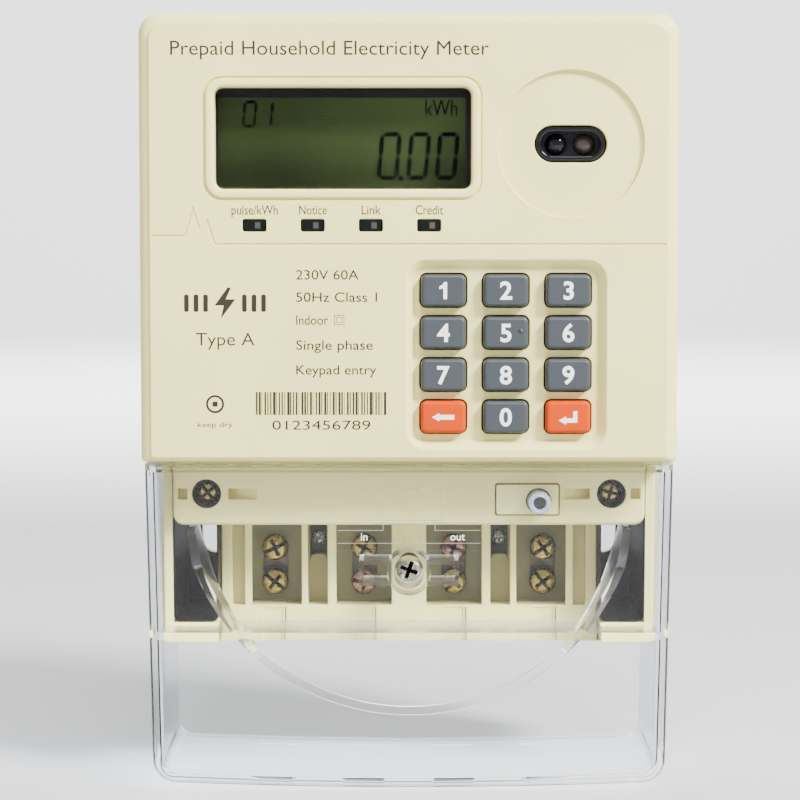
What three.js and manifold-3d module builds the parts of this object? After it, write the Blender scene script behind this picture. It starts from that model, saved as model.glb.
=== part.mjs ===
// Single-phase prepaid electricity meter, wall mounted, with a keypad, a display and a clear terminal cover.
// Units are millimetres. +Z is up and the front faces -Y.
// The origin is the centre of the rear mounting plane.
import * as THREE from "three";
import { mergeVertices } from "three/addons/utils/BufferGeometryUtils.js";
import Module from "manifold-3d";

const wasm = await Module();
wasm.setup();

// ---------------------------------------------------------------- driving dimensions
const HEIGHT = 180; // overall, over the case and the terminal cover
const WIDTH = 124; // overall, over the front cover
const DEPTH = 56; // from the wall to the front face
const GAP = 0.3; // clearance between neighbouring pieces
const TOP = HEIGHT / 2;
const BOTTOM = -HEIGHT / 2;
const HALF = WIDTH / 2;
const FRONT = -DEPTH;
const SEAM = -24; // where the front cover meets the rear case
const SPLIT = -13.2; // lower edge of the front cover, where the terminal cover starts
const WALL = 2.2; // moulded wall of the opaque shells
const FACE_WALL = 2.4; // front wall of the front cover
const BACK_WALL = 2.5;

const LEDGE = { half: 55.6, bottom: -29, front: -44, rear: -26 }; // recessed lower flange of the front cover
const BASE = { half: 58.2, bottom: -57.5, front: -34, floor: -52.6 }; // lower part of the rear case
const BLOCK = { half: 45.2, bottom: -57.2, top: -14, front: -32, back: -2.8 }; // terminal block
const TERMINALS = { pitch: 21.7, upper: -36.5, lower: -44.8, wireY: -15 };
const TERMINAL_X = [-1.5, -0.5, 0.5, 1.5].map((n) => n * TERMINALS.pitch);
const LINK_X = 22; // the two small link slots between terminals 1-2 and 3-4

const WINDOW = { x0: -44.5, x1: 14.3, z0: 49.7, z1: 72.9, r: 2 };
const BEZEL = { margin: 2.5, groove: 0.5, raise: 0.5 };
const LIGHTS = { x0: -35.4, pitch: 13.33, z: 41.4, w: 5.5, h: 2.9 };
const PORT = { x: 37, z: 60, r: 16.8, recess: 1, w: 16.6, h: 8.5, spacing: 6.5 };
const PAD = { x0: -0.6, x1: 45.4, z0: -10, z1: 33.5, r: 4.2, depth: 2 };
const KEY = { w: 10.4, h: 7.4, r: 1.3, pitchX: 14.35, pitchZ: 9.7, x0: 7.9, z0: 26.5 };
const KEY_NAMES = ["1", "2", "3", "4", "5", "6", "7", "8", "9", "back", "0", "enter"];
const SEAL = { x: 47.7, z: -21.6, bore: 3.45 }; // case screws in the ledge
const SWITCH = { x0: 20.6, x1: 35.2, z0: -26.4, z1: -19.4, px: 30.5, pz: -23.2, r: 2.65 };
const BOARD = { front: -43.2, back: -41.6 };
const SLOT = { x: 49, z0: -37.6, z1: -33, r: 3.3 }; // lower fixing slots in the back wall
const COVER = { top: -13.6, front: -55.6, rear: -5, wall: 2, halfTop: 61.6, halfBottom: 60.2, bow: 1.2 };
const COVER_SCREW_Z = -39.2;
const ARC = { z: -18.9, outer: 53.5, inner: 51.5 }; // stiffening rib inside the terminal cover
const HANGER = { half: 11.7, z0: 58.3, z1: 89.3, hole: 3.1, holeZ: 83.3 };

// ---------------------------------------------------------------- materials
const finish = (color, roughness, metalness = 0, more = {}) =>
  new THREE.MeshStandardMaterial({ color, roughness, metalness, ...more });
const cream = finish(0xe4e0c4, 0.5);
const clear = finish(0xeef2f8, 0.05, 0, { transparent: true, opacity: 0.3 });
const smoked = finish(0x14161a, 0.15);
const greyRubber = finish(0x6c7075, 0.45);
const orangeRubber = finish(0xf4690f, 0.45);
const darkPlastic = finish(0x1b1c1e, 0.5);
const glassGreen = finish(0x313b21, 0.2);
const boardGreen = finish(0x1d5a34, 0.5);
const brass = finish(0xc9a94f, 0.3, 1);
const zinc = finish(0xb9a25a, 0.3, 1);
const copper = finish(0xb8693d, 0.35, 1);
const steel = finish(0xb4b6ba, 0.35, 1);
const seal = finish(0x4a4a48, 0.8);

// ---------------------------------------------------------------- solids
// A closed three.js geometry as a solid that can be cut and joined.
function solid(geometry) {
  const bare = geometry.clone();
  bare.deleteAttribute("normal");
  bare.deleteAttribute("uv");
  const merged = mergeVertices(bare, 1e-4);
  const vertProperties = merged.getAttribute("position").array;
  const triVerts = new Uint32Array(merged.index.array);
  return new wasm.Manifold(new wasm.Mesh({ numProp: 3, vertProperties, triVerts }));
}

function geometryOf(made) {
  const { vertProperties, triVerts } = made.getMesh();
  const geometry = new THREE.BufferGeometry();
  geometry.setAttribute("position", new THREE.BufferAttribute(new Float32Array(vertProperties), 3));
  geometry.setIndex(new THREE.BufferAttribute(new Uint32Array(triVerts), 1));
  geometry.computeVertexNormals();
  return geometry;
}

const join = (...parts) => parts.reduce((a, b) => a.add(b));
const cut = (body, ...tools) => tools.reduce((a, b) => a.subtract(b), body);

function box(x0, x1, y0, y1, z0, z1) {
  const g = new THREE.BoxGeometry(x1 - x0, y1 - y0, z1 - z0);
  return solid(g.translate((x0 + x1) / 2, (y0 + y1) / 2, (z0 + z1) / 2));
}

// A round bar along Y, from y0 to y1.
function barY(r, x, z, y0, y1, sides = 24) {
  const g = new THREE.CylinderGeometry(r, r, y1 - y0, sides);
  return solid(g.translate(x, (y0 + y1) / 2, z));
}

// A round bar along Z, from z0 to z1.
function barZ(r, x, y, z0, z1, sides = 24) {
  const g = new THREE.CylinderGeometry(r, r, z1 - z0, sides).rotateX(Math.PI / 2);
  return solid(g.translate(x, y, (z0 + z1) / 2));
}

// The points of a rectangle with round corners, counter-clockwise in (x, z).
// radii is one number or [bottom, top].
function roundRect(x0, x1, z0, z1, radii, steps = 6) {
  const [rb, rt] = Array.isArray(radii) ? radii : [radii, radii];
  const corners = [
    [x1 - rb, z0 + rb, rb, -90],
    [x1 - rt, z1 - rt, rt, 0],
    [x0 + rt, z1 - rt, rt, 90],
    [x0 + rb, z0 + rb, rb, 180],
  ];
  return corners.flatMap(([cx, cz, r, start]) =>
    Array.from({ length: steps + 1 }, (_, i) => {
      const a = THREE.MathUtils.degToRad(start + (90 * i) / steps);
      return new THREE.Vector2(cx + r * Math.cos(a), cz + r * Math.sin(a));
    }),
  );
}

// A solid through outlines with equally many points, each at its own y. The first is the rearmost.
function loft(stations) {
  const count = stations[0].ring.length;
  const points = stations.flatMap(({ ring, y }) => ring.map((p) => [p.x, y, p.y]));
  const faces = [];
  for (let s = 0; s + 1 < stations.length; s++)
    for (let i = 0; i < count; i++) {
      const j = (i + 1) % count;
      const [a, b, c, d] = [s * count + i, s * count + j, (s + 1) * count + j, (s + 1) * count + i];
      faces.push([a, b, c], [a, c, d]);
    }
  const cap = (ring) => THREE.ShapeUtils.triangulateShape(ring, []);
  cap(stations[0].ring).forEach(([a, b, c]) => faces.push([a, c, b]));
  const last = (stations.length - 1) * count;
  cap(stations.at(-1).ring).forEach(([a, b, c]) => faces.push([last + a, last + b, last + c]));
  const geometry = new THREE.BufferGeometry();
  geometry.setAttribute("position", new THREE.Float32BufferAttribute(points.flat(), 3));
  geometry.setIndex(faces.flat());
  return solid(geometry);
}

// A plate of one outline from y0 back to y1 front.
const plate = (ring, y0, y1) => loft([{ ring, y: y0 }, { ring, y: y1 }]);

// The outline of a band of the given width along a line of [x, z] points, with mitred corners.
function band(line, width) {
  const side = (sign) =>
    line.map(([x, z], i) => {
      const before = line[Math.max(i - 1, 0)];
      const after = line[Math.min(i + 1, line.length - 1)];
      const a = new THREE.Vector2(x - before[0], z - before[1]).normalize();
      const b = new THREE.Vector2(after[0] - x, after[1] - z).normalize();
      const along = a.clone().add(b).normalize();
      const half = width / 2 / Math.max(0.35, along.dot(i ? a : b));
      return new THREE.Vector2(x - sign * along.y * half, z + sign * along.x * half);
    });
  return [...side(-1), ...side(1).reverse()];
}

function named(name, made, material) {
  const mesh = new THREE.Mesh(geometryOf(made), material);
  mesh.name = name;
  return mesh;
}

// ---------------------------------------------------------------- front cover
// The outline of the front cover, drawn in by inset.
// Its lower edge is drawn in less, because it meets the terminal cover.
function coverRing(inset) {
  const corners = [1, Math.max(5 - inset * 0.5, 1)];
  return roundRect(-HALF + inset, HALF - inset, SPLIT + inset * 0.3, TOP - inset, corners);
}

function frontShell() {
  const outer = loft([
    { ring: coverRing(0), y: SEAM },
    { ring: coverRing(0), y: FRONT + 3 },
    { ring: coverRing(0.5), y: FRONT + 1.5 },
    { ring: coverRing(1.3), y: FRONT + 0.5 },
    { ring: coverRing(2.5), y: FRONT },
  ]);
  const hollow = plate(
    roundRect(-HALF + WALL, HALF - WALL, SPLIT + WALL, TOP - WALL, [0.6, 2.8]),
    SEAM + 1,
    FRONT + FACE_WALL,
  );
  return cut(outer, hollow);
}

// The recessed flange below the front cover, which carries the two sealed case screws and the cover switch.
function ledgeShell() {
  const { half, bottom, front, rear } = LEDGE;
  const ring = (d) => roundRect(-half + d, half - d, bottom + d, SPLIT + WALL, [2.5, 0.5], 4);
  const skin = loft([
    { ring: ring(0), y: rear },
    { ring: ring(0), y: front + 0.8 },
    { ring: ring(0.8), y: front },
  ]);
  const hollow = box(-half + WALL, half - WALL, front + WALL, SEAM, bottom + WALL, SPLIT + WALL + 1);
  const blockHalf = BLOCK.half + GAP;
  const overBlock = box(-blockHalf, blockHalf, BLOCK.front - GAP, SEAM, bottom - 1, bottom + WALL + 1);
  return cut(skin, hollow, overBlock);
}

// Seal-wire pockets beside a case screw: a notch open to the ledge's end and a ramp towards the middle.
function wirePockets(side) {
  const z0 = SEAL.z - 1.3;
  const z1 = SEAL.z + 1.3;
  const front = LEDGE.front;
  const notch = box(52.8, LEDGE.half + 1, front - 1, front + 3, z0, z1);
  const ramp = new THREE.Shape([
    new THREE.Vector2(36, front - 1),
    new THREE.Vector2(42.6, front - 1),
    new THREE.Vector2(42.6, front + 4),
    new THREE.Vector2(36, front + 0.6),
  ]);
  const wedge = new THREE.ExtrudeGeometry(ramp, { depth: z1 - z0, bevelEnabled: false });
  const tools = join(notch, solid(wedge.translate(0, 0, z0)));
  return side > 0 ? tools : tools.mirror([1, 0, 0]);
}

function bezelFrame() {
  const m = BEZEL.margin;
  const ring = (d, r) => roundRect(WINDOW.x0 - d, WINDOW.x1 + d, WINDOW.z0 - d, WINDOW.z1 + d, r);
  const frame = loft([
    { ring: ring(m - BEZEL.groove, 4.1), y: FRONT + 1 },
    { ring: ring(m - BEZEL.groove, 4.1), y: FRONT - BEZEL.raise + 0.25 },
    { ring: ring(m - BEZEL.groove - 0.5, 3.7), y: FRONT - BEZEL.raise },
  ]);
  const groove = cut(
    plate(ring(m, 4.6), FRONT + 0.5, FRONT - 1),
    plate(ring(m - BEZEL.groove, 4.1), FRONT + 1, FRONT - 2),
  );
  return { frame, groove };
}

// Solid material behind the ledge for the case screws and the seal-wire pockets.
function sealBosses() {
  const back = LEDGE.front + 5.6;
  return [-1, 1].flatMap((s) => {
    const [x0, x1] = s > 0 ? [35.9, LEDGE.half - 1] : [-LEDGE.half + 1, -35.4];
    return [
      barY(5, s * SEAL.x, SEAL.z, LEDGE.front + 1, BLOCK.front - 1, 24),
      box(x0, x1, LEDGE.front + 1, back, SEAL.z - 2.6, SEAL.z + 2.6),
    ];
  });
}

// A rectangle with round corners about a centre, from its half width and half height.
const around = (x, z, w, h, r, steps) => roundRect(x - w, x + w, z - h, z + h, r, steps);

const lightX = (i) => LIGHTS.x0 + LIGHTS.pitch * i;
const keyPlace = (i) => [KEY.x0 + KEY.pitchX * (i % 3), KEY.z0 - KEY.pitchZ * Math.floor(i / 3)];

function switchWindow() {
  const { x0, x1, z0, z1 } = SWITCH;
  return box(x0 - GAP, x1 + GAP, LEDGE.front - 1, LEDGE.front + WALL + 1, z0 - GAP, z1 + GAP);
}

function frontCover() {
  const { frame, groove } = bezelFrame();
  const padRing = (d, r) => roundRect(PAD.x0 + d, PAD.x1 - d, PAD.z0 + d, PAD.z1 - d, r);
  let body = join(
    frontShell(),
    ledgeShell(),
    plate(padRing(-0.6, 4), FRONT + PAD.depth + 2, FRONT + 1),
    barY(PORT.r + 1, PORT.x, PORT.z, FRONT + 1, FRONT + 3.4, 32),
    frame,
    ...sealBosses(),
  );
  const pulse = [
    [-60.5, 39], [-51.4, 39], [-49.5, 45.3], [-47.9, 40.3], [-46.2, 42.5], [-44.5, 37.1], [60.5, 37.1],
  ];
  const tools = [
    groove,
    plate(band(pulse, 0.6), FRONT + 0.45, FRONT - 1),
    box(-60.5, 60.5, FRONT - 1, FRONT + 0.45, -12.1, -11.6),
    plate(roundRect(WINDOW.x0, WINDOW.x1, WINDOW.z0, WINDOW.z1, WINDOW.r), FRONT + 4, FRONT - 2),
    loft([
      { ring: padRing(2, 2.6), y: FRONT + PAD.depth },
      { ring: padRing(0, PAD.r), y: FRONT },
      { ring: padRing(-0.1, PAD.r), y: FRONT - 0.1 },
    ]),
    barY(PORT.r, PORT.x, PORT.z, FRONT - 1, FRONT + PORT.recess, 64),
    plate(around(PORT.x, PORT.z, PORT.w / 2, PORT.h / 2, PORT.h / 2, 8), FRONT + 5, FRONT - 1),
    switchWindow(),
    ...[0, 1, 2, 3].map((i) =>
      plate(around(lightX(i), LIGHTS.z, LIGHTS.w / 2, LIGHTS.h / 2, 0.5, 3), FRONT + 4, FRONT - 1),
    ),
    ...KEY_NAMES.map((_, i) => {
      const hole = around(...keyPlace(i), KEY.w / 2 + GAP, KEY.h / 2 + GAP, KEY.r + GAP, 4);
      return plate(hole, FRONT + 6, FRONT);
    }),
    ...[-1, 1].flatMap((s) => [
      barY(SEAL.bore, s * SEAL.x, SEAL.z, LEDGE.front - 1, LEDGE.front + 6, 28),
      barY(1.8, s * SEAL.x, SEAL.z, LEDGE.front, BLOCK.front + 1, 16),
      wirePockets(s),
    ]),
  ];
  body = cut(body, ...tools);
  return named("front_cover", body, cream);
}

// ---------------------------------------------------------------- rear case
function rearCase() {
  const upperRing = (d, y0, y1) =>
    plate(roundRect(-HALF + 0.4 + d, HALF - 0.4 - d, SPLIT + d, TOP - 0.4 - d, [1, 4.6 - d * 0.8]), y0, y1);
  const upper = upperRing(0, 0, SEAM + GAP);
  const lower = join(
    box(-BASE.half, BASE.half, BASE.front, 0, BASE.bottom, SPLIT - GAP),
    box(-BASE.half, BASE.half, SEAM + GAP, 0, SPLIT - 1, SPLIT + 3),
  );
  const hollows = [
    upperRing(4.2, -BACK_WALL, SEAM - 1),
    upperRing(WALL, -BACK_WALL, SEAM + 3),
    box(-BASE.half + WALL, BASE.half - WALL, BASE.front - 1, -BACK_WALL, BASE.floor, SPLIT + 5),
    box(-BLOCK.half - GAP, BLOCK.half + GAP, BASE.front - 1, -BACK_WALL, BASE.bottom - 1, BASE.floor + 1),
  ];
  const hangerHouse = box(-16, 16, -7, -1, 56, TOP - 1);
  const hangerTools = [
    box(-HANGER.half - GAP, HANGER.half + GAP, -4.3, -1.2, 58, TOP + 1),
    box(-9, 9, -1.3, 1, 58, TOP + 1),
  ];
  const posts = [-1, 1].map((s) => barY(4.2, s * SEAL.x, SEAL.z, BLOCK.front - 1 + GAP, -1, 20));
  const boardPosts = [-52, 52].flatMap((x) => [2, 80].map((z) => barY(3, x, z, BOARD.back + GAP, -1, 12)));
  const slots = [-1, 1].map((s) => {
    const half = (SLOT.z1 - SLOT.z0) / 2 + SLOT.r;
    return plate(around(s * SLOT.x, (SLOT.z0 + SLOT.z1) / 2, SLOT.r, half, SLOT.r, 6), 1, -4);
  });
  const pilots = [-1, 1].map((s) => barY(1.7, s * SEAL.x, SEAL.z, BLOCK.front - 4, -12, 12));
  const body = join(cut(join(upper, lower), ...hollows), hangerHouse, ...posts, ...boardPosts);
  return named("rear_case", cut(body, ...hangerTools, ...slots, ...pilots), cream);
}

function caseGasket() {
  const ring = (d) => roundRect(-HALF + d, HALF - d, SPLIT + d, TOP - d, [1, 3]);
  const body = cut(plate(ring(2.5), SEAM - 0.1, SEAM - 1.5), plate(ring(4.2), SEAM + 1, SEAM - 3));
  const passage = box(-LEDGE.half - 2, LEDGE.half + 2, SEAM - 3, SEAM + 1, SPLIT, SPLIT + 6);
  return named("case_gasket", cut(body, passage), seal);
}

// A steel tongue that slides up out of the back of the case, with a fixing hole near its top.
function hanger() {
  const body = join(
    box(-HANGER.half, HANGER.half, -4, -1.5, HANGER.z0, HANGER.z1),
    box(-8.6, 8.6, -2, -0.4, HANGER.z0, HANGER.z1 - 14),
  );
  return named("hanger", cut(body, barY(HANGER.hole, 0, HANGER.holeZ, -6, 1)), steel);
}

// ---------------------------------------------------------------- terminals
function terminalBlock() {
  const { half, bottom, top, front, back } = BLOCK;
  const floor = front + 8; // floor of the screw chambers
  const chamberZ0 = -49.8;
  const chambers = TERMINAL_X.flatMap((x) => [
    box(x - 6.7, x + 6.7, front - 1, floor, chamberZ0, -26),
    plate(roundRect(x - 3, x + 3, TERMINALS.lower - 3, TERMINALS.upper + 3, 3, 5), floor + 3, floor - 1),
    box(x - 5.7, x + 5.7, floor + 2.2, -8, -51.5, top + 1),
    barZ(4.3, x, TERMINALS.wireY, bottom - 1, -50, 20),
    box(x - 2.55, x + 2.55, front - 1, front + 0.4, bottom - 1, chamberZ0),
  ]);
  const links = [-LINK_X, LINK_X].flatMap((x) => [
    box(x - 2.4, x + 2.4, front - 1, front + 6, chamberZ0, -26),
    box(x - 2.2, x + 2.2, front - 1, front + 11, -38.4, -26),
    barY(2.2, x, -38.4, front - 1, front + 11, 20),
    barY(1.5, x, -34.5, front + 10, front + 17, 12),
  ]);
  const shelves = [38, -42.6].map((x) => box(x, x + 4.6, front - 1, front + 3, chamberZ0, -26));
  const screwHole = barY(2.3, 0, COVER_SCREW_Z, front - 1, -8, 16);
  const underLedge = box(-half - 1, half + 1, front - 1, front + 5, -26.5, top + 1);
  const postNotches = [
    [42.9, half + 1],
    [-half - 1, -42.9],
  ].map(([x0, x1]) => box(x0, x1, front, back + 1, -26.5, top + 1));
  const tools = [...chambers, ...links, ...shelves, ...postNotches, screwHole, underLedge];
  return named("terminal_block", cut(box(-half, half, front, back, bottom, top), ...tools), cream);
}

// Brass tunnel clamp: the conductor comes in from below, and two screws press on it from the front.
function terminalClamp(i) {
  const y = TERMINALS.wireY;
  const body = cut(
    box(-5.3, 5.3, y - 6.3, y + 6.3, -51, -28),
    barZ(4.1, 0, y, -52, -31.5, 20),
    ...[TERMINALS.upper, TERMINALS.lower].map((z) => barY(2.7, 0, z, y - 8, y, 16)),
  );
  const mesh = named(`terminal_clamp_${i + 1}`, body, brass);
  mesh.position.x = TERMINAL_X[i];
  return mesh;
}

// A screw along Y whose head faces the front. Its origin is the middle of the seat under the head.
function screw(name, { head, tall, shank, length, slot }, material) {
  const body = cut(
    join(barY(head, 0, 0, -tall, 0, 16), barY(shank, 0, 0, -0.5, length, 12)),
    box(-head - 1, head + 1, -tall - 1, -tall + 1, -slot, slot),
    box(-slot, slot, -tall - 1, -tall + 1.4, -head * 0.66, head * 0.66),
  );
  return named(name, body, material);
}

function terminalScrews() {
  const size = { head: 3.2, tall: 3.4, shank: 2.35, length: 6.8, slot: 0.45 };
  return TERMINAL_X.flatMap((x, i) =>
    [["a", TERMINALS.upper, 25], ["b", TERMINALS.lower, -35]].map(([letter, z, turn]) => {
      const mesh = screw(`terminal_screw_${i + 1}${letter}`, size, zinc);
      mesh.position.set(x, BLOCK.front + 7.6, z);
      mesh.rotation.y = THREE.MathUtils.degToRad(turn + 40 * i);
      return mesh;
    }),
  );
}

function linkScrews() {
  const size = { head: 1.9, tall: 1.6, shank: 1.2, length: 5, slot: 0.3 };
  return [["left", -LINK_X], ["right", LINK_X]].map(([side, x]) => {
    const mesh = screw(`link_screw_${side}`, size, steel);
    mesh.position.set(x, BLOCK.front + 10.6, -34.5);
    return mesh;
  });
}

function caseScrews() {
  const size = { head: 2.75, tall: 2.2, shank: 1.5, length: 14, slot: 0.4 };
  return [["left", -SEAL.x, 30], ["right", SEAL.x, -20]].map(([side, x, turn]) => {
    const mesh = screw(`case_screw_${side}`, size, zinc);
    mesh.position.set(x, LEDGE.front + 5.7, SEAL.z);
    mesh.rotation.y = THREE.MathUtils.degToRad(turn);
    return mesh;
  });
}

// ---------------------------------------------------------------- terminal cover
// Outline of the clear cover: narrower at its bowed lower edge, with round lower corners.
function clearRing(inset, top = inset) {
  const low = BOTTOM + inset;
  const high = COVER.top - top;
  const r = Math.max(6 - inset, 1.5);
  const xTop = COVER.halfTop - inset;
  const xLow = COVER.halfBottom - inset;
  const side = (s) => {
    const corner = Array.from({ length: 7 }, (_, i) => {
      const a = THREE.MathUtils.degToRad(-90 + 15 * i);
      return new THREE.Vector2(s * (xLow - r + r * Math.cos(a)), low + COVER.bow + r + r * Math.sin(a));
    });
    return [...corner, new THREE.Vector2(s * xTop, high)];
  };
  const bowed = Array.from({ length: 9 }, (_, i) => {
    const x = (xLow - r) * (-0.8 + 0.2 * i);
    return new THREE.Vector2(x, low + COVER.bow * (x / (xLow - r)) ** 2);
  });
  return [...bowed, ...side(1), ...side(-1).reverse()];
}

// The curved rib: part of a ring below the ledge. Towards its ends it runs deeper and leaves the front wall.
function arcRib() {
  const ring = cut(
    barY(ARC.outer, 0, ARC.z, COVER.front + 1, -33, 96),
    barY(ARC.inner, 0, ARC.z, COVER.front, -32, 96),
  );
  const rear = new THREE.Shape([
    new THREE.Vector2(COVER.front + 3.4, -95),
    new THREE.Vector2(COVER.front + 3.4, -57),
    new THREE.Vector2(-33, -36),
    new THREE.Vector2(-33, -30),
    new THREE.Vector2(COVER.front + 10, -30),
    new THREE.Vector2(COVER.front + 1.2, -38),
    new THREE.Vector2(COVER.front + 1, -95),
  ]);
  // The shape is drawn in (y, z) and swept along X.
  const slab = new THREE.ExtrudeGeometry(rear, { depth: 130, bevelEnabled: false }).translate(0, 0, -65);
  slab.applyMatrix4(new THREE.Matrix4().set(0, 0, 1, 0, 1, 0, 0, 0, 0, 1, 0, 0, 0, 0, 0, 1));
  return ring.intersect(solid(slab));
}

function terminalCover() {
  const front = COVER.front;
  const inside = front + COVER.wall;
  const outer = loft([
    { ring: clearRing(0, 0), y: COVER.rear },
    { ring: clearRing(0.3, 0.1), y: front + 3.4 },
    { ring: clearRing(0.8, 0.25), y: front + 1.8 },
    { ring: clearRing(1.7, 0.4), y: front + 0.6 },
    { ring: clearRing(3, 0.6), y: front },
  ]);
  const hollow = loft([
    { ring: clearRing(COVER.wall, COVER.wall), y: COVER.rear + 1 },
    { ring: clearRing(COVER.wall + 0.4, COVER.wall), y: inside },
  ]);
  const behindLedge = box(-59.4, 59.4, LEDGE.front - 0.5, 0, SPLIT - 4, SPLIT + 2);
  const shell = cut(outer, hollow, behindLedge);
  const reach = front + 12.4;
  const rib = (x0, x1, z0, z1) => box(x0, x1, inside - 0.5, reach, z0, z1);
  const ribs = [
    box(-59.4, 59.4, inside - 0.5, BASE.front - 0.6, -54.8, -53),
    ...[
      [4, 11.6, 10.6],
      [-11.6, -4, -11.6],
    ].flatMap(([a, b, end]) => [
      rib(a, b, -37.1, -36.1),
      rib(a, b, -42.1, -41.1),
      rib(end, end + 1, -42.1, -36.1),
    ]),
    barY(2, SWITCH.px, SWITCH.pz, inside - 0.5, LEDGE.front - 6, 20),
    barY(5.1, 0, COVER_SCREW_Z, inside - 0.5, front + 13.4, 32),
    arcRib(),
  ];
  const knockouts = TERMINAL_X.map((x) => box(x - 4.9, x + 4.9, front + 4.5, -12, BOTTOM - 1, BOTTOM + 1.2));
  const panel = box(-18.6, 18.6, front - 1, front + 0.3, -33.6, -16.4);
  const well = [
    barY(3.4, 0, COVER_SCREW_Z, front - 1, front + 10.6, 28),
    barY(2.2, 0, COVER_SCREW_Z, front, front + 15, 16),
  ];
  const body = cut(join(shell, ...ribs), ...knockouts, panel, ...well);
  return named("terminal_cover", body, clear);
}

function coverScrew() {
  const mesh = screw("cover_screw", { head: 3, tall: 2.4, shank: 1.95, length: 24, slot: 0.45 }, zinc);
  mesh.position.set(0, COVER.front + 10.3, COVER_SCREW_Z);
  mesh.rotation.y = THREE.MathUtils.degToRad(20);
  return mesh;
}

// ---------------------------------------------------------------- keypad and switch
function key(i) {
  const flange = roundRect(-KEY.w / 2 - 0.7, KEY.w / 2 + 0.7, -KEY.h / 2 - 0.6, KEY.h / 2 + 0.6, KEY.r, 4);
  const ring = (d) => roundRect(-KEY.w / 2 + d, KEY.w / 2 - d, -KEY.h / 2 + d, KEY.h / 2 - d, KEY.r, 4);
  const crown = FRONT - 0.5;
  const cap = loft([
    { ring: ring(0), y: FRONT + 4.6 },
    { ring: ring(0.1), y: crown + 0.8 },
    { ring: ring(0.35), y: crown + 0.2 },
    { ring: ring(0.8), y: crown },
  ]);
  const stem = barY(2.2, 0, 0, FRONT + 5, FRONT + 9.8, 12);
  const body = join(cap, plate(flange, FRONT + 5.6, FRONT + 4.4), stem);
  const name = KEY_NAMES[i];
  const mesh = named(`key_${name}`, body, name.length > 1 ? orangeRubber : greyRubber);
  const [x, z] = keyPlace(i);
  mesh.position.set(x, 0, z);
  return mesh;
}

function keypadMat() {
  return named("keypad_mat", box(0, 45, BOARD.front - 1.6, BOARD.front - GAP, -8.4, 32.6), seal);
}

function coverSwitch() {
  const { x0, x1, z0, z1, px, pz, r } = SWITCH;
  const front = LEDGE.front;
  const body = join(
    box(x0, x1, front - 0.6, front + WALL, z0, z1),
    box(x0 + 1, x1 - 1, front + WALL - 0.5, front + 6, z0 + 1, z1 - 1),
  );
  const guide = barY(r + GAP, px, pz, front - 2, front + 3.6, 24);
  const pocket = box(px - 5.5, px + 3.6, front + 3.5, front + 7, z0 + 1.8, z1 - 1.8);
  const switchPlate = named("switch_plate", cut(body, guide, pocket), cream);
  const nose = front - 5.6;
  const plunger = cut(barY(r, 0, 0, nose, front + 1.6, 24), barY(1.5, 0, 0, nose - 1, nose + 1.2, 20));
  const plungerMesh = named("switch_plunger", plunger, greyRubber);
  plungerMesh.position.set(px, 0, pz);
  const micro = box(px - 5, px + 3, front + 3.9, front + 9, z0 + 2.2, z1 - 2.2);
  return [switchPlate, plungerMesh, named("cover_microswitch", micro, darkPlastic)];
}

// ---------------------------------------------------------------- display, lights and optical port
function display() {
  const { x0, x1, z0, z1, r } = WINDOW;
  const lens = plate(roundRect(x0 + GAP, x1 - GAP, z0 + GAP, z1 - GAP, r - GAP), FRONT + 2, FRONT + 0.6);
  const panel = box(x0 - 1, x1 + 1, -48, -45.2, z0 - 1, z1 + 1);
  const holder = cut(
    box(x0 - 2.6, x1 + 2.6, FRONT + FACE_WALL + GAP, BOARD.front - GAP, z0 - 2.6, z1 + 2.6),
    box(x0 - 0.2, x1 + 0.2, FRONT, -47, z0 - 0.2, z1 + 0.2),
    box(x0 - 1.3, x1 + 1.3, -48.3, -44.9, z0 - 1.3, z1 + 1.3),
    box(x0 + 6, x1 - 6, -46, BOARD.front, z0 + 3, z1 - 3),
    box(x1, x1 + 5, -48.3, -44.9, z0 - 1.3, z1 + 1.3),
  );
  return [
    named("display_window", lens, clear),
    named("display_holder", holder, darkPlastic),
    named("display_panel", panel, glassGreen),
  ];
}

function statusLights() {
  return [0, 1, 2, 3].map((i) => {
    const [w, h] = [LIGHTS.w / 2 - GAP, LIGHTS.h / 2 - GAP];
    const body = join(
      plate(roundRect(-w, w, -h, h, 0.4, 3), FRONT + 4, FRONT + 0.3),
      box(-w - 0.8, w + 0.8, FRONT + 3, BOARD.front - GAP, -h - 0.8, h + 0.8),
    );
    const mesh = named(`status_light_${i + 1}`, body, smoked);
    mesh.position.set(lightX(i), 0, LIGHTS.z);
    return mesh;
  });
}

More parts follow.
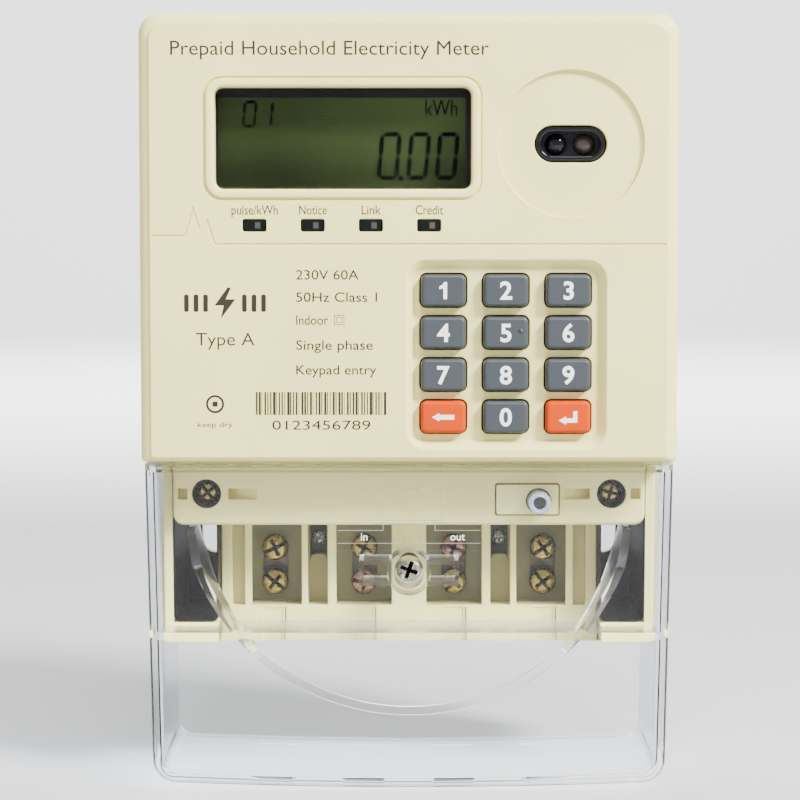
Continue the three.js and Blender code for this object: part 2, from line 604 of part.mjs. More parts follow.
function opticalPort() {
  const oval = (w, h, y0, y1) => plate(roundRect(-w / 2, w / 2, -h / 2, h / 2, h / 2, 8), y0, y1);
  const bores = [-1, 1].map((s) => barY(2.85, (s * PORT.spacing) / 2, 0, FRONT, -40, 20));
  const bezel = cut(
    join(
      oval(PORT.w - 2 * GAP, PORT.h - 2 * GAP, FRONT + 8, FRONT + PORT.recess + 0.2),
      oval(PORT.w + 3, PORT.h + 3, FRONT + 10, FRONT + 3.4 + GAP),
    ),
    oval(PORT.w - 3.2, PORT.h - 3.2, FRONT + 4, FRONT),
    ...bores,
  );
  const bezelMesh = named("optical_bezel", bezel, darkPlastic);
  bezelMesh.position.set(PORT.x, 0, PORT.z);
  // A 5 mm lamp with a domed tip: a turned profile about its own axis, laid along Y.
  const dome = Array.from({ length: 5 }, (_, i) => {
    const a = (Math.PI / 2) * (i / 4);
    return new THREE.Vector2(i < 4 ? 2.5 * Math.cos(a) : 0, 6 + 2.5 * Math.sin(a));
  });
  const lamp = new THREE.LatheGeometry([new THREE.Vector2(0, 0), new THREE.Vector2(2.5, 0), ...dome], 16);
  const lamps = [["infrared_emitter", -1], ["infrared_receiver", 1]].map(([name, s]) => {
    const mesh = named(name, solid(lamp).rotate([180, 0, 0]), smoked);
    mesh.position.set(PORT.x + (s * PORT.spacing) / 2, BOARD.front - GAP, PORT.z);
    return mesh;
  });
  return [bezelMesh, ...lamps];
}

// ---------------------------------------------------------------- electronics
function electronics() {
  const rear = BOARD.back + GAP;
  const bar = (name, ...parts) => named(name, join(...parts), copper);
  const [x1, x2, x3, x4] = TERMINAL_X;
  const tab = (x, z) => box(x - 3.5, x + 3.5, -17, -15, -27.7, z);
  return [
    named("main_board", box(-57, 57, BOARD.front, BOARD.back, -10.5, 86), boardGreen),
    named("supply_transformer", box(-48, -16, rear, -9, 48, 80), darkPlastic),
    named("latching_relay", box(-2, 36, -34, -8, -4, 24), darkPlastic),
    bar("input_busbar", tab(x1, -2), box(x1 - 3.5, -21, -17, -15, -6, 0)),
    named("current_shunt", box(-20.7, -9.3, -17.2, -14.8, -5.4, -0.6), steel),
    bar("relay_busbar", box(-9, -2.3, -17, -15, -6, 0)),
    bar("neutral_busbar", tab(x2, -8), tab(x3, -8), box(x2 - 3.5, x3 + 3.5, -17, -15, -13.6, -7.6)),
    bar("output_busbar", tab(x4, -5), box(x4 - 3.5, x4 + 3.5, -17, -15, -12, -4.3)),
    named("storage_capacitor", barY(6, 42, 70, rear, -16, 24), darkPlastic),
    named("backup_battery", barY(8, 14, 68, rear, -28, 24), steel),
    named("buzzer", barY(6, -40, 20, rear, -33, 24), darkPlastic),
  ];
}

// ---------------------------------------------------------------- assembly
const meter = new THREE.Group();

const caseGroup = new THREE.Group();
caseGroup.add(rearCase(), frontCover(), caseGasket(), hanger(), ...caseScrews());

const terminalGroup = new THREE.Group();
const clamps = TERMINAL_X.map((_, i) => terminalClamp(i));
terminalGroup.add(terminalBlock(), ...clamps, ...terminalScrews(), ...linkScrews());

const coverGroup = new THREE.Group();
coverGroup.add(terminalCover(), coverScrew());

const keypadGroup = new THREE.Group();
keypadGroup.add(keypadMat(), ...KEY_NAMES.map((_, i) => key(i)));

meter.add(caseGroup, terminalGroup, coverGroup, keypadGroup);
meter.add(...coverSwitch(), ...display(), ...statusLights(), ...opticalPort(), ...electronics());

export default meter;
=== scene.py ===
# %% [markdown]
# # A prepaid electricity meter in cream plastic and clear polycarbonate
#
# The meter hangs on a wall and has three layers. A cream rear case holds the works, a cream front cover
# carries the display, the lamps, the optical port and the keypad, and a clear cover is screwed over the
# terminals below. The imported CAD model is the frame: it says where every piece is and which body it moves
# with. This lesson gives the visible pieces their real roundings, prints and finishes, and leaves every
# place and every motion alone.

# %% Load the frame
import math

import bmesh
import bpy
import numpy as np
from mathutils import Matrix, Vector
from mathutils.geometry import delaunay_2d_cdt


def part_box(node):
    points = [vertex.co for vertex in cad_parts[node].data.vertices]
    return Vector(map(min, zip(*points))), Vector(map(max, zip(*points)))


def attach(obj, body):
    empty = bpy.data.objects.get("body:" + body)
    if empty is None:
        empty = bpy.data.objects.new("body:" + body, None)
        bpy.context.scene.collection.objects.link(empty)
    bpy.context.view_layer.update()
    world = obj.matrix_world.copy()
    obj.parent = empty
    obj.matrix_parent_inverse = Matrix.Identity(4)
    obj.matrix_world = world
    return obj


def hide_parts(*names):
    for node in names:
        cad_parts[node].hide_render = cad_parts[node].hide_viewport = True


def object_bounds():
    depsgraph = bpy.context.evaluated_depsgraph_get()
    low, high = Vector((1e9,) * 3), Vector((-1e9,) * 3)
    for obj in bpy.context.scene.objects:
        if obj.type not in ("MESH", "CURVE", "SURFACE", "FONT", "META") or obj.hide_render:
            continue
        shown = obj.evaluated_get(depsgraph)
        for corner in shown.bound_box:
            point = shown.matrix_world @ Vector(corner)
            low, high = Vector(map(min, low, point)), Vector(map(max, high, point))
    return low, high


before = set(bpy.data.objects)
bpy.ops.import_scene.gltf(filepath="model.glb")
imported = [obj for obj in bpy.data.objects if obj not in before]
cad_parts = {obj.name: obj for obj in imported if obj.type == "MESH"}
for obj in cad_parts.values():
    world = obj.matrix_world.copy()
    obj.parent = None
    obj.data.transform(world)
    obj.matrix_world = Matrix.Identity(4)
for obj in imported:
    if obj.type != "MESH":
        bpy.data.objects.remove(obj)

cad_low, cad_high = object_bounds()
MM = 0.001


def span(node):
    """A CAD node's lowest and highest x, y and z in millimetres: ((x0, x1), (y0, y1), (z0, z1))."""
    low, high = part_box(node)
    return [(low[i] / MM, high[i] / MM) for i in range(3)]


def depths(node):
    """Where a CAD node begins and ends in depth."""
    return span(node)[1]


def middle(node):
    """The centre of a CAD node's box on the front plane."""
    (x0, x1), _, (z0, z1) = span(node)
    return (x0 + x1) / 2, (z0 + z1) / 2


(case_x0, case_x1), (nose_y, seam_y), (ledge_z, top_z) = span("front_cover")
FACE_RAISE = 0.5  # the display bezel stands this far in front of the face
face_y = nose_y + FACE_RAISE
print("front face at", round(face_y, 2), "mm, overall width", round(case_x1 - case_x0, 2), "mm")

# %% [markdown]
# ## Camera, stage and light
#
# A studio shot of a product like this is taken from straight in front with a long lens, a little above the
# middle. The lens is 107.6 mm on a 36 mm sensor, so that 184 mm fill the frame at 55 cm. The stage is one
# surface of revolution: a flat pale floor that turns up into a wide bowl, so that there is no horizon from
# any side. The main light is a large soft panel high on the right, because one side of the case is clearly
# lighter.

# %% Place the camera
VIEW_DISTANCE = 550.0
VIEW_ANGLE = math.radians(3.9)
VIEW_HEIGHT = 1.35
FRAME_WIDTH = 184.0
SENSOR = 36.0

eye = bpy.data.cameras.new("eye")
eye.sensor_width = SENSOR
eye.lens = SENSOR * VIEW_DISTANCE / FRAME_WIDTH
eye.shift_x = -0.0112
eye.clip_start = 0.01
eye_object = bpy.data.objects.new("eye", eye)
bpy.context.scene.collection.objects.link(eye_object)
look_back = Vector((0, -math.cos(VIEW_ANGLE), math.sin(VIEW_ANGLE)))
eye_object.location = (Vector((0, face_y, VIEW_HEIGHT)) + look_back * VIEW_DISTANCE) * MM
eye_object.rotation_euler = (-look_back).to_track_quat("-Z", "Y").to_euler()
bpy.context.scene.camera = eye_object
print("camera at", [round(v, 4) for v in eye_object.location])

# %% Numbers into meshes
def grid_faces(rows, columns, closed=True):
    """Quads of a grid whose point in row k, column i is number k * columns + i. A closed row joins up."""
    i = np.arange(columns if closed else columns - 1)
    j = (i + 1) % columns
    k = np.arange(rows - 1)[:, None] * columns
    return np.stack([k + i, k + j, k + columns + j, k + columns + i], -1).reshape(-1, 4)


def piece(name, parts, finish, body, stands_for=(), smooth=38.0):
    """One mesh from (points, faces) parts in millimetres. Points that meet are merged, faces are turned
    outwards, edges sharper than the angle stay sharp, and a flat keeps its own normal next to a rounding."""
    mesh = bpy.data.meshes.new(name)
    points, faces, start = [], [], 0
    for some_points, some_faces in parts:
        points.append(np.asarray(some_points, float))
        faces.extend((np.asarray(f) + start).tolist() for f in some_faces)
        start += len(some_points)
    mesh.from_pydata((np.concatenate(points) * MM).tolist(), [], faces)
    work = bmesh.new()
    work.from_mesh(mesh)
    bmesh.ops.remove_doubles(work, verts=work.verts, dist=2e-7)
    bmesh.ops.recalc_face_normals(work, faces=work.faces)
    work.to_mesh(mesh)
    work.free()
    mesh.polygons.foreach_set("use_smooth", np.ones(len(mesh.polygons), bool))
    mesh.set_sharp_from_angle(angle=math.radians(smooth))
    mesh.materials.append(finish)
    made = bpy.data.objects.new(name, mesh)
    bpy.context.scene.collection.objects.link(made)
    if body == "stage":
        return made
    flats = made.modifiers.new("true flats", "WEIGHTED_NORMAL")
    flats.keep_sharp = True
    if stands_for:
        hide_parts(*stands_for)
    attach(made, body)
    return made


# %% [markdown]
# ## Finishes
#
# Every finish is a small node tree on Object coordinates, so its grain has a real size in millimetres and
# stays put when a piece moves. The cream parts are moulded in a spark-eroded tool: a fine even grain, with
# slow changes of tone where the plastic flowed. Screws are zinc plated and passivated yellow, so their
# colour drifts from gold to green and pink. The clear cover is polished polycarbonate, which bends light
# and shows its edges as bright lines.

# %% A tool for finishes
class Finish:
    """A Principled material with helpers for grain, tone and bump at sizes in millimetres."""

    def __init__(self, name, colour, roughness, metallic=0.0, **sockets):
        self.material = bpy.data.materials.new(name)
        self.material.use_nodes = True
        self.tree = self.material.node_tree
        self.shader = self.tree.nodes["Principled BSDF"]
        self.shader.inputs["Base Color"].default_value = (*colour, 1)
        self.shader.inputs["Roughness"].default_value = roughness
        self.shader.inputs["Metallic"].default_value = metallic
        for socket, value in sockets.items():
            self.shader.inputs[socket.replace("_", " ")].default_value = value
        self.place = self.tree.nodes.new("ShaderNodeTexCoord").outputs["Object"]

    def join(self, source, socket):
        self.tree.links.new(source, socket)

    def noise(self, size, detail=2.0, stretch=(1, 1, 1)):
        """Noise whose blobs are about size mm across, stretched along an axis by a factor."""
        node = self.tree.nodes.new("ShaderNodeTexNoise")
        node.inputs["Scale"].default_value = 1 / (size * MM)
        node.inputs["Detail"].default_value = detail
        if stretch == (1, 1, 1):
            self.join(self.place, node.inputs["Vector"])
        else:
            mapping = self.tree.nodes.new("ShaderNodeMapping")
            mapping.inputs["Scale"].default_value = [1 / s for s in stretch]
            self.join(self.place, mapping.inputs["Vector"])
            self.join(mapping.outputs[0], node.inputs["Vector"])
        return node.outputs["Fac"]

    def ramp(self, source, *stops):
        """Colours or greys at places along a factor: (place, colour) pairs."""
        node = self.tree.nodes.new("ShaderNodeValToRGB")
        node.color_ramp.elements[0].position = stops[0][0]
        node.color_ramp.elements[1].position = stops[-1][0]
        for place, _ in stops[1:-1]:
            node.color_ramp.elements.new(place)
        for element, (_, colour) in zip(node.color_ramp.elements, stops):
            element.color = (*colour, 1) if isinstance(colour, tuple) else (colour, colour, colour, 1)
        self.join(source, node.inputs[0])
        return node.outputs["Color"]

    def tone(self, source, *stops):
        self.join(self.ramp(source, *stops), self.shader.inputs["Base Color"])
        return self

    def gloss(self, source, low, high):
        self.join(self.ramp(source, (0.3, low), (0.7, high)), self.shader.inputs["Roughness"])
        return self

    def hollow(self, front, back, dark, near=1.0, axis="Y"):
        """Painted shade or painted light: scales the colour along an axis,
        times near before front mm and times dark behind back mm.
        """
        split = self.tree.nodes.new("ShaderNodeSeparateXYZ")
        depth = self.tree.nodes.new("ShaderNodeMapRange")
        limits = {"From Min": front * MM, "From Max": back * MM, "To Min": near, "To Max": dark}
        for socket, value in limits.items():
            depth.inputs[socket].default_value = value
        mix = self.tree.nodes.new("ShaderNodeMix")
        mix.data_type, mix.blend_type = "RGBA", "MULTIPLY"
        mix.inputs[0].default_value = 1
        base = self.shader.inputs["Base Color"]
        self.join(self.place, split.inputs[0])
        self.join(split.outputs[axis], depth.inputs["Value"])
        self.join(base.links[0].from_socket, mix.inputs[6])
        self.join(depth.outputs[0], mix.inputs[7])
        self.join(mix.outputs[2], base)
        return self

    def bump(self, *layers):
        """Each layer is (height source, depth in mm, strength). The layers feed one another."""
        below = None
        for source, depth, strength in layers:
            node = self.tree.nodes.new("ShaderNodeBump")
            node.inputs["Distance"].default_value = depth * MM
            node.inputs["Strength"].default_value = strength
            self.join(source, node.inputs["Height"])
            if below:
                self.join(below, node.inputs["Normal"])
            below = node.outputs["Normal"]
        self.join(below, self.shader.inputs["Normal"])
        return self


# %% Mix the finishes
def moulded(name, colour, roughness, grain=0.22, depth=0.012, sheen=0.3, hollow=None):
    """Moulded plastic: slow tone changes of about 4%, a fine eroded grain and a gloss that varies with both.
    hollow is (front, back, dark): painted shade that darkens the colour with depth, so deep pockets look
    shaded."""
    made = Finish(name, colour, roughness, IOR=1.5, Specular_IOR_Level=sheen)
    drift = made.noise(34, 3)
    dark, light = (tuple(c * k for c in colour) for k in (0.955, 1.035))
    made.tone(drift, (0.3, dark), (0.7, light))
    made.gloss(made.noise(1.1, 4), roughness - 0.05, roughness + 0.07)
    if hollow:
        made.hollow(*hollow)
    made.bump((made.noise(grain, 3), depth, 0.35), (made.noise(9, 2), 0.05, 0.12))
    return made.material


def plated(name, golds, roughness, recess):
    """Zinc plate with a yellow passivation film: the film's thickness drifts, and its colour with it.
    recess is the depth range over which the driver recess is painted dark, as painted shade."""
    made = Finish(name, golds[1], roughness, metallic=1.0)
    film = made.noise(1.6, 3)
    made.tone(film, (0.3, golds[0]), (0.5, golds[1]), (0.7, golds[2]))
    # Painted shade: the colour falls to 0.02 times over the recess depth range, so the cross recess looks
    # shaded.
    made.hollow(*recess, 0.02)
    made.gloss(made.noise(0.5, 3), roughness - 0.06, roughness + 0.12)
    made.bump((made.noise(0.12, 2), 0.01, 0.4))
    return made.material


def metal(name, dark, light, roughness, stretch=(1, 1, 1)):
    """Plain rolled or drawn metal with fine lines along the stretched axis."""
    made = Finish(name, light, roughness, metallic=1.0)
    lines = made.noise(0.35, 4, stretch)
    made.tone(lines, (0.3, dark), (0.7, light))
    made.gloss(lines, roughness - 0.05, roughness + 0.1)
    made.bump((lines, 0.01, 0.3))
    return made.material


def see_through(name, colour, roughness, ior=1.5):
    """Clear moulded plastic. Rays from lamps pass straight on, so that what is behind it is lit."""
    made = Finish(name, colour, roughness, IOR=ior, Transmission_Weight=1.0)
    made.bump((made.noise(14, 2), 0.03, 0.06))
    straight = made.tree.nodes.new("ShaderNodeBsdfTransparent")
    straight.inputs["Color"].default_value = (0.93, 0.94, 0.96, 1)
    path = made.tree.nodes.new("ShaderNodeLightPath")
    either = made.tree.nodes.new("ShaderNodeMixShader")
    made.join(path.outputs["Is Shadow Ray"], either.inputs[0])
    made.join(made.shader.outputs[0], either.inputs[1])
    made.join(straight.outputs[0], either.inputs[2])
    made.join(either.outputs[0], made.tree.nodes["Material Output"].inputs["Surface"])
    return made.material


CREAM = (0.80, 0.72, 0.275)
cream = moulded("cream_plastic", CREAM, 0.46)
# Painted shade: the terminal block's colour falls from full at its front, y -31.9 mm, to 0.1 times at y -22.5
# mm, so its chambers look shaded.
cream_block = moulded("cream_block_plastic", CREAM, 0.5, 0.3, 0.008, 0.2, (-31.9, -22.5, 0.1))
cream_plate = moulded("cream_plate_plastic", (0.9, 0.82, 0.34), 0.46, 0.22, 0.008, 0.3)
# Painted shade: near-black for the sheets in the side bays, which stand for the deep shade there.
bay_shade = moulded("bay_liner_plastic", (0.004, 0.003, 0.0015), 0.55, 0.4, 0.01, 0.08)
key_grey = moulded("grey_key_plastic", (0.04, 0.046, 0.053), 0.42, 0.16, 0.006)
key_orange = moulded("orange_key_plastic", (0.5, 0.048, 0.0), 0.45, 0.16, 0.006, 0.08)
black = moulded("black_plastic", (0.006, 0.006, 0.006), 0.38, 0.2, 0.006, 0.15)
rubber = moulded("black_silicone", (0.008, 0.008, 0.008), 0.6, 0.3, 0.01, 0.15)
plunger_grey = moulded("plunger_plastic", (0.3, 0.35, 0.42), 0.3, 0.2, 0.004)
GOLDS = ((0.21, 0.155, 0.02), (0.4, 0.32, 0.055), (0.3, 0.16, 0.06))
# Depth ranges in mm over which the screws' cross recesses are painted dark (painted shade).
TERMINAL_RECESS, CASE_RECESS, COVER_RECESS = (-27.1, -26.5), (-40.1, -39.4), (-47.2, -46.4)
gold_zinc = plated("yellow_zinc", GOLDS, 0.2, TERMINAL_RECESS)
case_zinc = plated("yellow_zinc_case", GOLDS, 0.2, CASE_RECESS)
ROSES = ((0.25, 0.11, 0.07), (0.37, 0.17, 0.13), (0.26, 0.2, 0.07))
rose_zinc = plated("rose_zinc", ROSES, 0.2, TERMINAL_RECESS)
GREYS = ((0.13, 0.14, 0.08), (0.38, 0.38, 0.28), (0.24, 0.21, 0.18))
pale_zinc = plated("pale_zinc", GREYS, 0.2, COVER_RECESS)
brass = metal("clamp_brass", (0.06, 0.045, 0.025), (0.14, 0.11, 0.06), 0.35, (6, 1, 1))
copper = metal("bar_copper", (0.5, 0.2, 0.1), (0.82, 0.42, 0.26), 0.3, (1, 1, 8))
steel = metal("plain_steel", (0.42, 0.42, 0.43), (0.66, 0.66, 0.67), 0.32, (1, 1, 8))
clear = see_through("clear_polycarbonate", (0.94, 0.95, 0.97), 0.015, 1.28)
# Painted shade: a darker grey-blue copy of the clear material for the cover's side walls, so they look grey
# seen edge-on.
clear_side_shade = see_through("clear_polycarbonate_side_shade", (0.56, 0.59, 0.66), 0.03, 1.4)
clear_rib = see_through("clear_polycarbonate_rib", (0.93, 0.95, 0.98), 0.16, 1.45)
pane = see_through("display_pane", (0.97, 0.98, 0.97), 0.01, 1.12)
dull_steel = metal("dull_steel", (0.12, 0.11, 0.1), (0.45, 0.42, 0.37), 0.25)
smoked = moulded("smoked_lens", (0.004, 0.006, 0.0055), 0.12, 0.4, 0.002, 0.15)
gloss_black = moulded("gloss_black_plastic", (0.006, 0.006, 0.007), 0.14, 0.4, 0.003)
lens_black = moulded("dark_dome", (0.004, 0.004, 0.006), 0.05, 0.5, 0.001)
lens_brown = moulded("brown_dome", (0.035, 0.031, 0.024), 0.06, 0.5, 0.001)
chip_grey = moulded("grey_chip", (0.035, 0.037, 0.034), 0.4, 0.3, 0.002)
chip_brown = moulded("brown_chip", (0.06, 0.036, 0.028), 0.4, 0.3, 0.002)
segment_ink = moulded("display_segment", (0.002, 0.003, 0.0015), 0.35, 0.3, 0.001, 0.02)
frosted = see_through("frosted_line", (0.96, 0.97, 0.98), 0.5, 1.4)
ink = moulded("grey_print", (0.028, 0.024, 0.018), 0.55, 0.2, 0.004, 0.1)
white_ink = moulded("white_print", (0.86, 0.87, 0.86), 0.45, 0.2, 0.004)
olive = Finish("display_olive", (0.03, 0.042, 0.014), 0.25, Specular_IOR_Level=0.05)
olive.tone(olive.noise(26, 1, (2, 1, 1)), (0.3, (0.011, 0.016, 0.0055)), (0.7, (0.015, 0.022, 0.0075)))
# Painted light: the olive is scaled from 1.05 to 2.2 times from left to right and from 0.6 to 2.0 times from
# bottom to top, so the glass is lighter to the right and the top, against the shade of the bezel.
olive.hollow(-30, 14, 2.2, 1.05, "X")
olive.hollow(54, 72, 2.0, 0.6, "Z")
print("finishes:", len(bpy.data.materials))

# %% Stage
FLOOR_GAP = 0.2
FLOOR_RADIUS, BOWL_RADIUS, BOWL_BEND = 2600.0, 3600.0, 1000.0
stage_paint = Finish("stage_paint", (0.86, 0.865, 0.875), 0.9, Emission_Color=(0.9, 0.93, 1, 1),
                     Emission_Strength=0.3)
stage_paint.tone(stage_paint.noise(900, 2), (0.3, (0.44, 0.445, 0.455)), (0.7, (0.46, 0.465, 0.475)))
bend = np.linspace(0, np.pi / 2, 13)
curve_out = FLOOR_RADIUS + BOWL_BEND * np.sin(bend[1:])
reach = np.concatenate([[0.01, 600, FLOOR_RADIUS], curve_out, [BOWL_RADIUS]])
rise = np.concatenate([[0, 0, 0], BOWL_BEND * (1 - np.cos(bend[1:])), [BOWL_BEND + 2400]])
turn = np.linspace(0, 2 * np.pi, 96, endpoint=False)
bowl = np.stack([reach[:, None] * np.cos(turn), reach[:, None] * np.sin(turn), rise[:, None] + 0 * turn], -1)
bowl[..., 2] += cad_low[2] / MM - FLOOR_GAP
piece("stage", [(bowl.reshape(-1, 3), grid_faces(len(reach), len(turn)))], stage_paint.material, "stage")

# %% Light
def panel(name, place, power, size, colour=(1, 1, 1), aim=(0, 0, 0)):
    """A square soft light in millimetres that faces the middle of the meter, or another point."""
    lamp = bpy.data.lights.new(name, "AREA")
    lamp.energy = power
    lamp.size = size * MM
    lamp.color = colour
    made = bpy.data.objects.new(name, lamp)
    made.location = Vector(place) * MM
    made.rotation_euler = (Vector(aim) - Vector(place)).to_track_quat("-Z", "Y").to_euler()
    made.visible_camera = False
    bpy.context.scene.collection.objects.link(made)


panel("key_light", (1100, -900, 1150), 120, 420, (1, 0.985, 0.95))
panel("top_light", (100, -1000, 1700), 40, 700)
panel("fill_light", (-1100, -1500, 300), 2, 900, (0.97, 0.98, 1))
panel("back_light", (-500, 1300, 1100), 16, 900)
panel("backdrop_light", (0, 1000, 1300), 260, 900, (1, 1, 1), (0, 3500, 300))
world = bpy.data.worlds.new("studio")
world.use_nodes = True
world.node_tree.nodes["Background"].inputs["Color"].default_value = (0.93, 0.95, 1, 1)
world.node_tree.nodes["Background"].inputs["Strength"].default_value = 0.08
bpy.context.scene.world = world

# %% [markdown]
# ## Outlines and walls
#
# Nearly every shape on a moulded meter is an outline on the front plane, carried back by a wall with a
# rounded rim. So three tools are enough. An outline is a closed row of (x, z) points. A wall is a row of
# copies of the outline, each drawn in by some distance at some depth. A flat is the area between outlines,
# cut into triangles.

# %% Outlines
def rounded(x0, x1, z0, z1, r, steps=8):
    """A rectangle with round corners, counter-clockwise. r is one radius or (lower, upper).
    A corner's points are centre + r (cos a, sin a), with a running over 90 degrees."""
    low, high = r if isinstance(r, tuple) else (r, r)
    a = np.linspace(0, np.pi / 2, steps + 1)
    corners = [(x1 - low, z0 + low, low, -1), (x1 - high, z1 - high, high, 0),
               (x0 + high, z1 - high, high, 1), (x0 + low, z0 + low, low, 2)]
    points = [np.stack([x + q * np.cos(a + s * np.pi / 2), z + q * np.sin(a + s * np.pi / 2)], 1)
              for x, z, q, s in corners]
    return distinct(np.concatenate(points))


def distinct(outline):
    """The outline without points that repeat the one before."""
    step = np.linalg.norm(outline - np.roll(outline, 1, 0), axis=1)
    return outline[step > 1e-5]


def circle(x, z, r, steps=48):
    """The points (x + r cos a, z + r sin a)."""
    a = np.linspace(0, 2 * np.pi, steps, endpoint=False)
    return np.stack([x + r * np.cos(a), z + r * np.sin(a)], 1)


def inset(outline, d):
    """Draws an outline in by d: each point moves by d (n1 + n2) / (1 + n1.n2), where n1 and n2 are the inward
    normals of its two edges."""
    along = np.roll(outline, -1, 0) - outline
    along /= np.linalg.norm(along, axis=1, keepdims=True)
    n2 = np.stack([-along[:, 1], along[:, 0]], 1)
    n1 = np.roll(n2, 1, 0)
    return outline + d * (n1 + n2) / (1 + (n1 * n2).sum(1, keepdims=True))


# %% Walls and flats
def loft(rings):
    """A skin through (outline, y) rings with equally many points. y is one depth or one for each point."""
    rows = [np.column_stack([o[:, 0], np.broadcast_to(y, len(o)), o[:, 1]]) for o, y in rings]
    return np.concatenate(rows), grid_faces(len(rows), len(rows[0]))


def wall(outline, steps):
    """A skin through copies of one outline: steps are (drawn in by, depth)."""
    return loft([(inset(outline, d), y) for d, y in steps])


def flat(outlines, y):
    """Triangles over the area that lies inside an odd number of the outlines, all at depth y."""
    points = np.concatenate(outlines)
    ends = np.cumsum([len(o) for o in outlines])
    edges = [(i, i + 1 if i + 1 < end else end - len(o)) for o, end in zip(outlines, ends)
             for i in range(end - len(o), end)]
    flat_points, _, faces, *_ = delaunay_2d_cdt([Vector(p) for p in points], edges, [], 0, 1e-6)
    at = np.array([tuple(p) for p in flat_points])
    faces = np.array(faces)
    middle = at[faces].mean(1)
    inside = sum(crossings(middle, o) for o in outlines) % 2 == 1
    return np.column_stack([at[:, 0], np.full(len(at), y), at[:, 1]]), faces[inside]


def crossings(points, outline):
    """How many edges of the outline a ray to the right of each point meets."""
    a, b = outline, np.roll(outline, -1, 0)
    x, z = points[:, :1], points[:, 1:]
    spans = (a[:, 1] > z) != (b[:, 1] > z)
    rise = np.where(b[:, 1] == a[:, 1], 1.0, b[:, 1] - a[:, 1])
    return (spans & (x < a[:, 0] + (z - a[:, 1]) * (b[:, 0] - a[:, 0]) / rise)).sum(1)


def rim(y, r, depth, steps=4, hole=True):
    """Steps of a rounded edge from a plane at y into a wall: (r sin a - r, y + r - r cos a), with a from 0 to
    90 degrees. A hole's plane starts r outside its wall, and a boss's plane starts r inside."""
    a = np.linspace(0, np.pi / 2, steps + 1)
    side = 1 if hole else -1
    return [(side * (r * math.sin(t) - r), y + r - r * math.cos(t)) for t in a] + [(0, depth)]


def pocket(outline, y, r, depth, floor=()):
    """A blind hollow: rounded rim, wall, small inner corner, and a floor with deeper holes left open."""
    steps = rim(y, r, depth - 0.15) + [(0.05, depth - 0.04), (0.15, depth)]
    return [wall(outline, steps), flat([inset(outline, 0.15), *floor], depth)]


def boss(outline, y, r, depth, steps=4, holes=()):
    """A plate with a rounded front edge, its front at y with holes left open and its back at depth."""
    return [wall(outline, rim(y, r, depth, steps, hole=False)), flat([inset(outline, r), *holes], y),
            flat([outline], depth)]


# %% [markdown]
# ## Front cover
#
# The front cover is one moulding: a shallow tray whose face has a display window in a raised bezel, four
# lamp windows, a round seat for a reading head, and a sunk keypad field with twelve holes. A fine groove
# with a pulse in it runs right across. Each feature is cut from the face as an outline and then carried
# back.

# %% Front cover: measures
SPLIT_Z = -13.2
WALL = 2.2
BACK_OF_FACE = face_y + 4.2
window_x, _, window_z = span("display_window")
WINDOW_GAP, BEZEL = 0.3, 2.5
bezel = rounded(window_x[0] - WINDOW_GAP - BEZEL, window_x[1] + WINDOW_GAP + BEZEL,
                window_z[0] - WINDOW_GAP - BEZEL, window_z[1] + WINDOW_GAP + BEZEL, 4.5, 10)
KEYS = ["1", "2", "3", "4", "5", "6", "7", "8", "9", "back", "0", "enter"]
key_at = {k: middle("key_" + k) for k in KEYS}
lamp_at = [middle(f"status_light_{i}") for i in (1, 2, 3, 4)]
port_x, port_z = middle("optical_bezel")
KEY_W, KEY_H, KEY_R = 5.2, 3.7, 1.3
PORT_R = 16.8
print("keys at", {k: tuple(round(float(c), 2) for c in v) for k, v in key_at.items()})


def cover_ring(d):
    """The cover's outline drawn in by d at the sides and top, and by half of that at the foot."""
    return rounded(case_x0 + d, case_x1 - d, SPLIT_Z + d * 0.5, top_z - d, (1, 5.2 - 0.45 * d), 10)


def around(x, z, half_w, half_h, r, steps=6):
    return rounded(x - half_w, x + half_w, z - half_h, z + half_h, r, steps)


# %% Front cover: the groove with a pulse
def ribbon(line, width):
    """The outline of a band along a line: each point moves sideways by half the width over the cosine of half
    its turn, once to the left and once to the right."""
    line = np.array(line, float)
    along = np.diff(line, axis=0)
    along /= np.linalg.norm(along, axis=1, keepdims=True)
    before, after = np.vstack([along[:1], along]), np.vstack([along, along[-1:]])
    mean = before + after
    mean /= np.linalg.norm(mean, axis=1, keepdims=True)
    reach = width / 2 / np.clip((mean * after).sum(1, keepdims=True), 0.35, 1)
    side = np.stack([-mean[:, 1], mean[:, 0]], 1) * reach
    return np.vstack([line - side, (line + side)[::-1]])


EDGE_X = 58.9
pulse = ribbon([(-EDGE_X, 39), (-51.4, 39), (-49.5, 45.3), (-47.9, 40.3), (-46.2, 42.5), (-44.5, 37.1),
                (EDGE_X, 37.1)], 0.5)
groove = [wall(pulse, [(-0.12, face_y), (-0.05, face_y + 0.04), (0, face_y + 0.12), (0.1, face_y + 0.34)]),
          flat([inset(pulse, 0.1)], face_y + 0.34)]

# %% Front cover: face and its features
ROUNDING = [(0, 3.4), (0.08, 2.7), (0.35, 1.9), (0.85, 1.2), (1.55, 0.72), (2.3, 0.5), (2.45, 0.42),
            (2.52, 0.3), (2.56, 0.12), (2.64, 0.03), (2.76, 0)]
SKIN = [(0.5, seam_y), (0.12, seam_y - 0.15), (0, seam_y - 0.5), *((d, face_y + y) for d, y in ROUNDING)]
outer = loft([(cover_ring(d), y) for d, y in SKIN])
inner_ring = rounded(case_x0 + WALL, case_x1 - WALL, SPLIT_Z + WALL, top_z - WALL, (0.6, 2.8), 10)
RIM = 0.22

